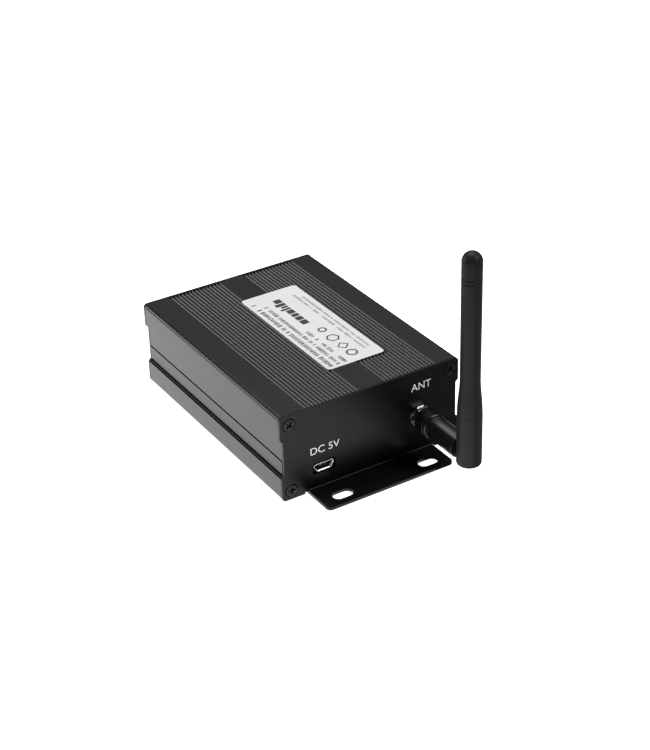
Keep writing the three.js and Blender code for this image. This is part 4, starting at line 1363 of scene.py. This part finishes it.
class RECEIVER_OT_stage(bpy.types.Operator):
    """Set up the camera, the pale floor and the soft lights"""

    bl_idname = "receiver.stage"
    bl_label = "Stage"

    def execute(self, context):
        settings = context.scene.receiver_stage
        self.camera(context)
        self.floor(settings)
        self.surroundings(context, settings)
        aim = (0, 0, 0.02)
        soft_light("key_softbox", (0.12, 0.38, 1.1), aim, (1.0, 1.0), settings.key_light)
        over_card = (CARD_CENTRE[0], CARD_CENTRE[1], 1.0)
        soft_light("floor_card", CARD_CENTRE, over_card, CARD_SIZE, settings.card_light)
        soft_light("back_softbox", (0.5, 1.0, 0.68), aim, (0.8, 0.5), settings.back_light)
        soft_light("strip_softbox", (-0.85, 0.8, 0.3), aim, (1.0, 0.42), settings.strip_light)
        soft_light("fill_softbox", (0.6, -0.7, 0.95), aim, (0.7, 0.7), settings.fill_light)
        context.scene.view_settings.view_transform = "Standard"
        return {"FINISHED"}

    @staticmethod
    def camera(context):
        view = bpy.data.cameras.new("camera")
        view.lens = CAMERA_LENS
        view.sensor_width = 36.0
        view.clip_start = 0.01
        camera = bpy.data.objects.new("camera", view)
        context.scene.collection.objects.link(camera)
        forward = (CAMERA_TARGET - CAMERA_PLACE).normalized()
        right = forward.cross(Vector((0, 0, 1))).normalized()
        up = right.cross(forward)
        c, s = math.cos(CAMERA_ROLL), math.sin(CAMERA_ROLL)
        side, rise = right * c + up * s, up * c - right * s
        turn = Matrix((side, rise, -forward)).transposed().to_4x4()
        camera.matrix_world = Matrix.Translation(CAMERA_PLACE) @ turn
        context.scene.camera = camera

    @staticmethod
    def floor(settings):
        """The floor that shows, and one just under it that only gives back light."""
        floors = ("floor", -0.0002, 1.0, True), ("floor_bounce", -0.0004, 0.0, False)
        for name, height, glow, shown in floors:
            rim = [(x, y, height) for x, y in around(settings.floor_radius, FLOOR_SIDES)]
            mesh = bpy.data.meshes.new(name)
            mesh.from_pydata(rim, [], [list(range(FLOOR_SIDES))])
            floor = piece_from_mesh(name, mesh)
            finish = Finish("pale_" + name)
            level = 0.88 if shown else 0.3
            paint = finish.mix(finish.noise(3, 2), (level - 0.02,) * 3, (level + 0.02,) * 3)
            light = {"Emission_Color": (1, 1, 1, 1), "Emission_Strength": glow}
            mesh.materials.append(finish.shade(paint, 0.8, 0.0, **light))
            floor.visible_camera = shown
            floor.visible_glossy = floor.visible_diffuse = floor.visible_shadow = not shown

    @staticmethod
    def surroundings(context, settings):
        """White to the camera, and a dim grey room to everything else."""
        world = bpy.data.worlds.new("studio")
        world.use_nodes = True
        tree = Tree(world.node_tree)
        world.node_tree.nodes.clear()
        seen = tree.node("ShaderNodeLightPath", output=0)
        white = tree.node("ShaderNodeBackground", {}, {0: (1, 1, 1, 1), 1: 1.0})
        room = tree.node("ShaderNodeBackground", {}, {0: (1, 1, 1, 1), 1: settings.room_light})
        both = tree.node("ShaderNodeMixShader", {}, {0: seen, 1: room, 2: white})
        tree.node("ShaderNodeOutputWorld", {}, {0: both})
        context.scene.world = world


# ------------------------------------------------------------------ panel and registration

OPERATORS = (
    RECEIVER_OT_stage,
    RECEIVER_OT_case,
    RECEIVER_OT_end_plates,
    RECEIVER_OT_screws,
    RECEIVER_OT_label,
    RECEIVER_OT_legends,
    RECEIVER_OT_power_inlet,
    RECEIVER_OT_antenna_socket,
    RECEIVER_OT_antenna,
    RECEIVER_OT_signal_sockets,
    RECEIVER_OT_button_and_lamp,
    RECEIVER_OT_boards,
)


class RECEIVER_PT_panel(bpy.types.Panel):
    """Lists the receiver's settings and its pieces"""

    bl_idname = "RECEIVER_PT_panel"
    bl_label = "Receiver"
    bl_space_type = "VIEW_3D"
    bl_region_type = "UI"
    bl_category = "Receiver"

    def draw(self, context):
        for name, group in SETTINGS.items():
            box = self.layout.box()
            for key in group.__annotations__:
                box.prop(getattr(context.scene, name), key)
        for operator in OPERATORS:
            self.layout.operator(operator.bl_idname)


def register():
    for group in SETTINGS.values():
        bpy.utils.register_class(group)
    for name, group in SETTINGS.items():
        setattr(bpy.types.Scene, name, bpy.props.PointerProperty(type=group))
    for operator in OPERATORS:
        bpy.utils.register_class(operator)
    bpy.utils.register_class(RECEIVER_PT_panel)


def unregister():
    bpy.utils.unregister_class(RECEIVER_PT_panel)
    for operator in reversed(OPERATORS):
        bpy.utils.unregister_class(operator)
    for name, group in SETTINGS.items():
        delattr(bpy.types.Scene, name)
        bpy.utils.unregister_class(group)


def main():
    register()
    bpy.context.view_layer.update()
    for operator in OPERATORS:
        group, name = operator.bl_idname.split(".")
        getattr(getattr(bpy.ops, group), name)()


if __name__ == "__main__":
    main()
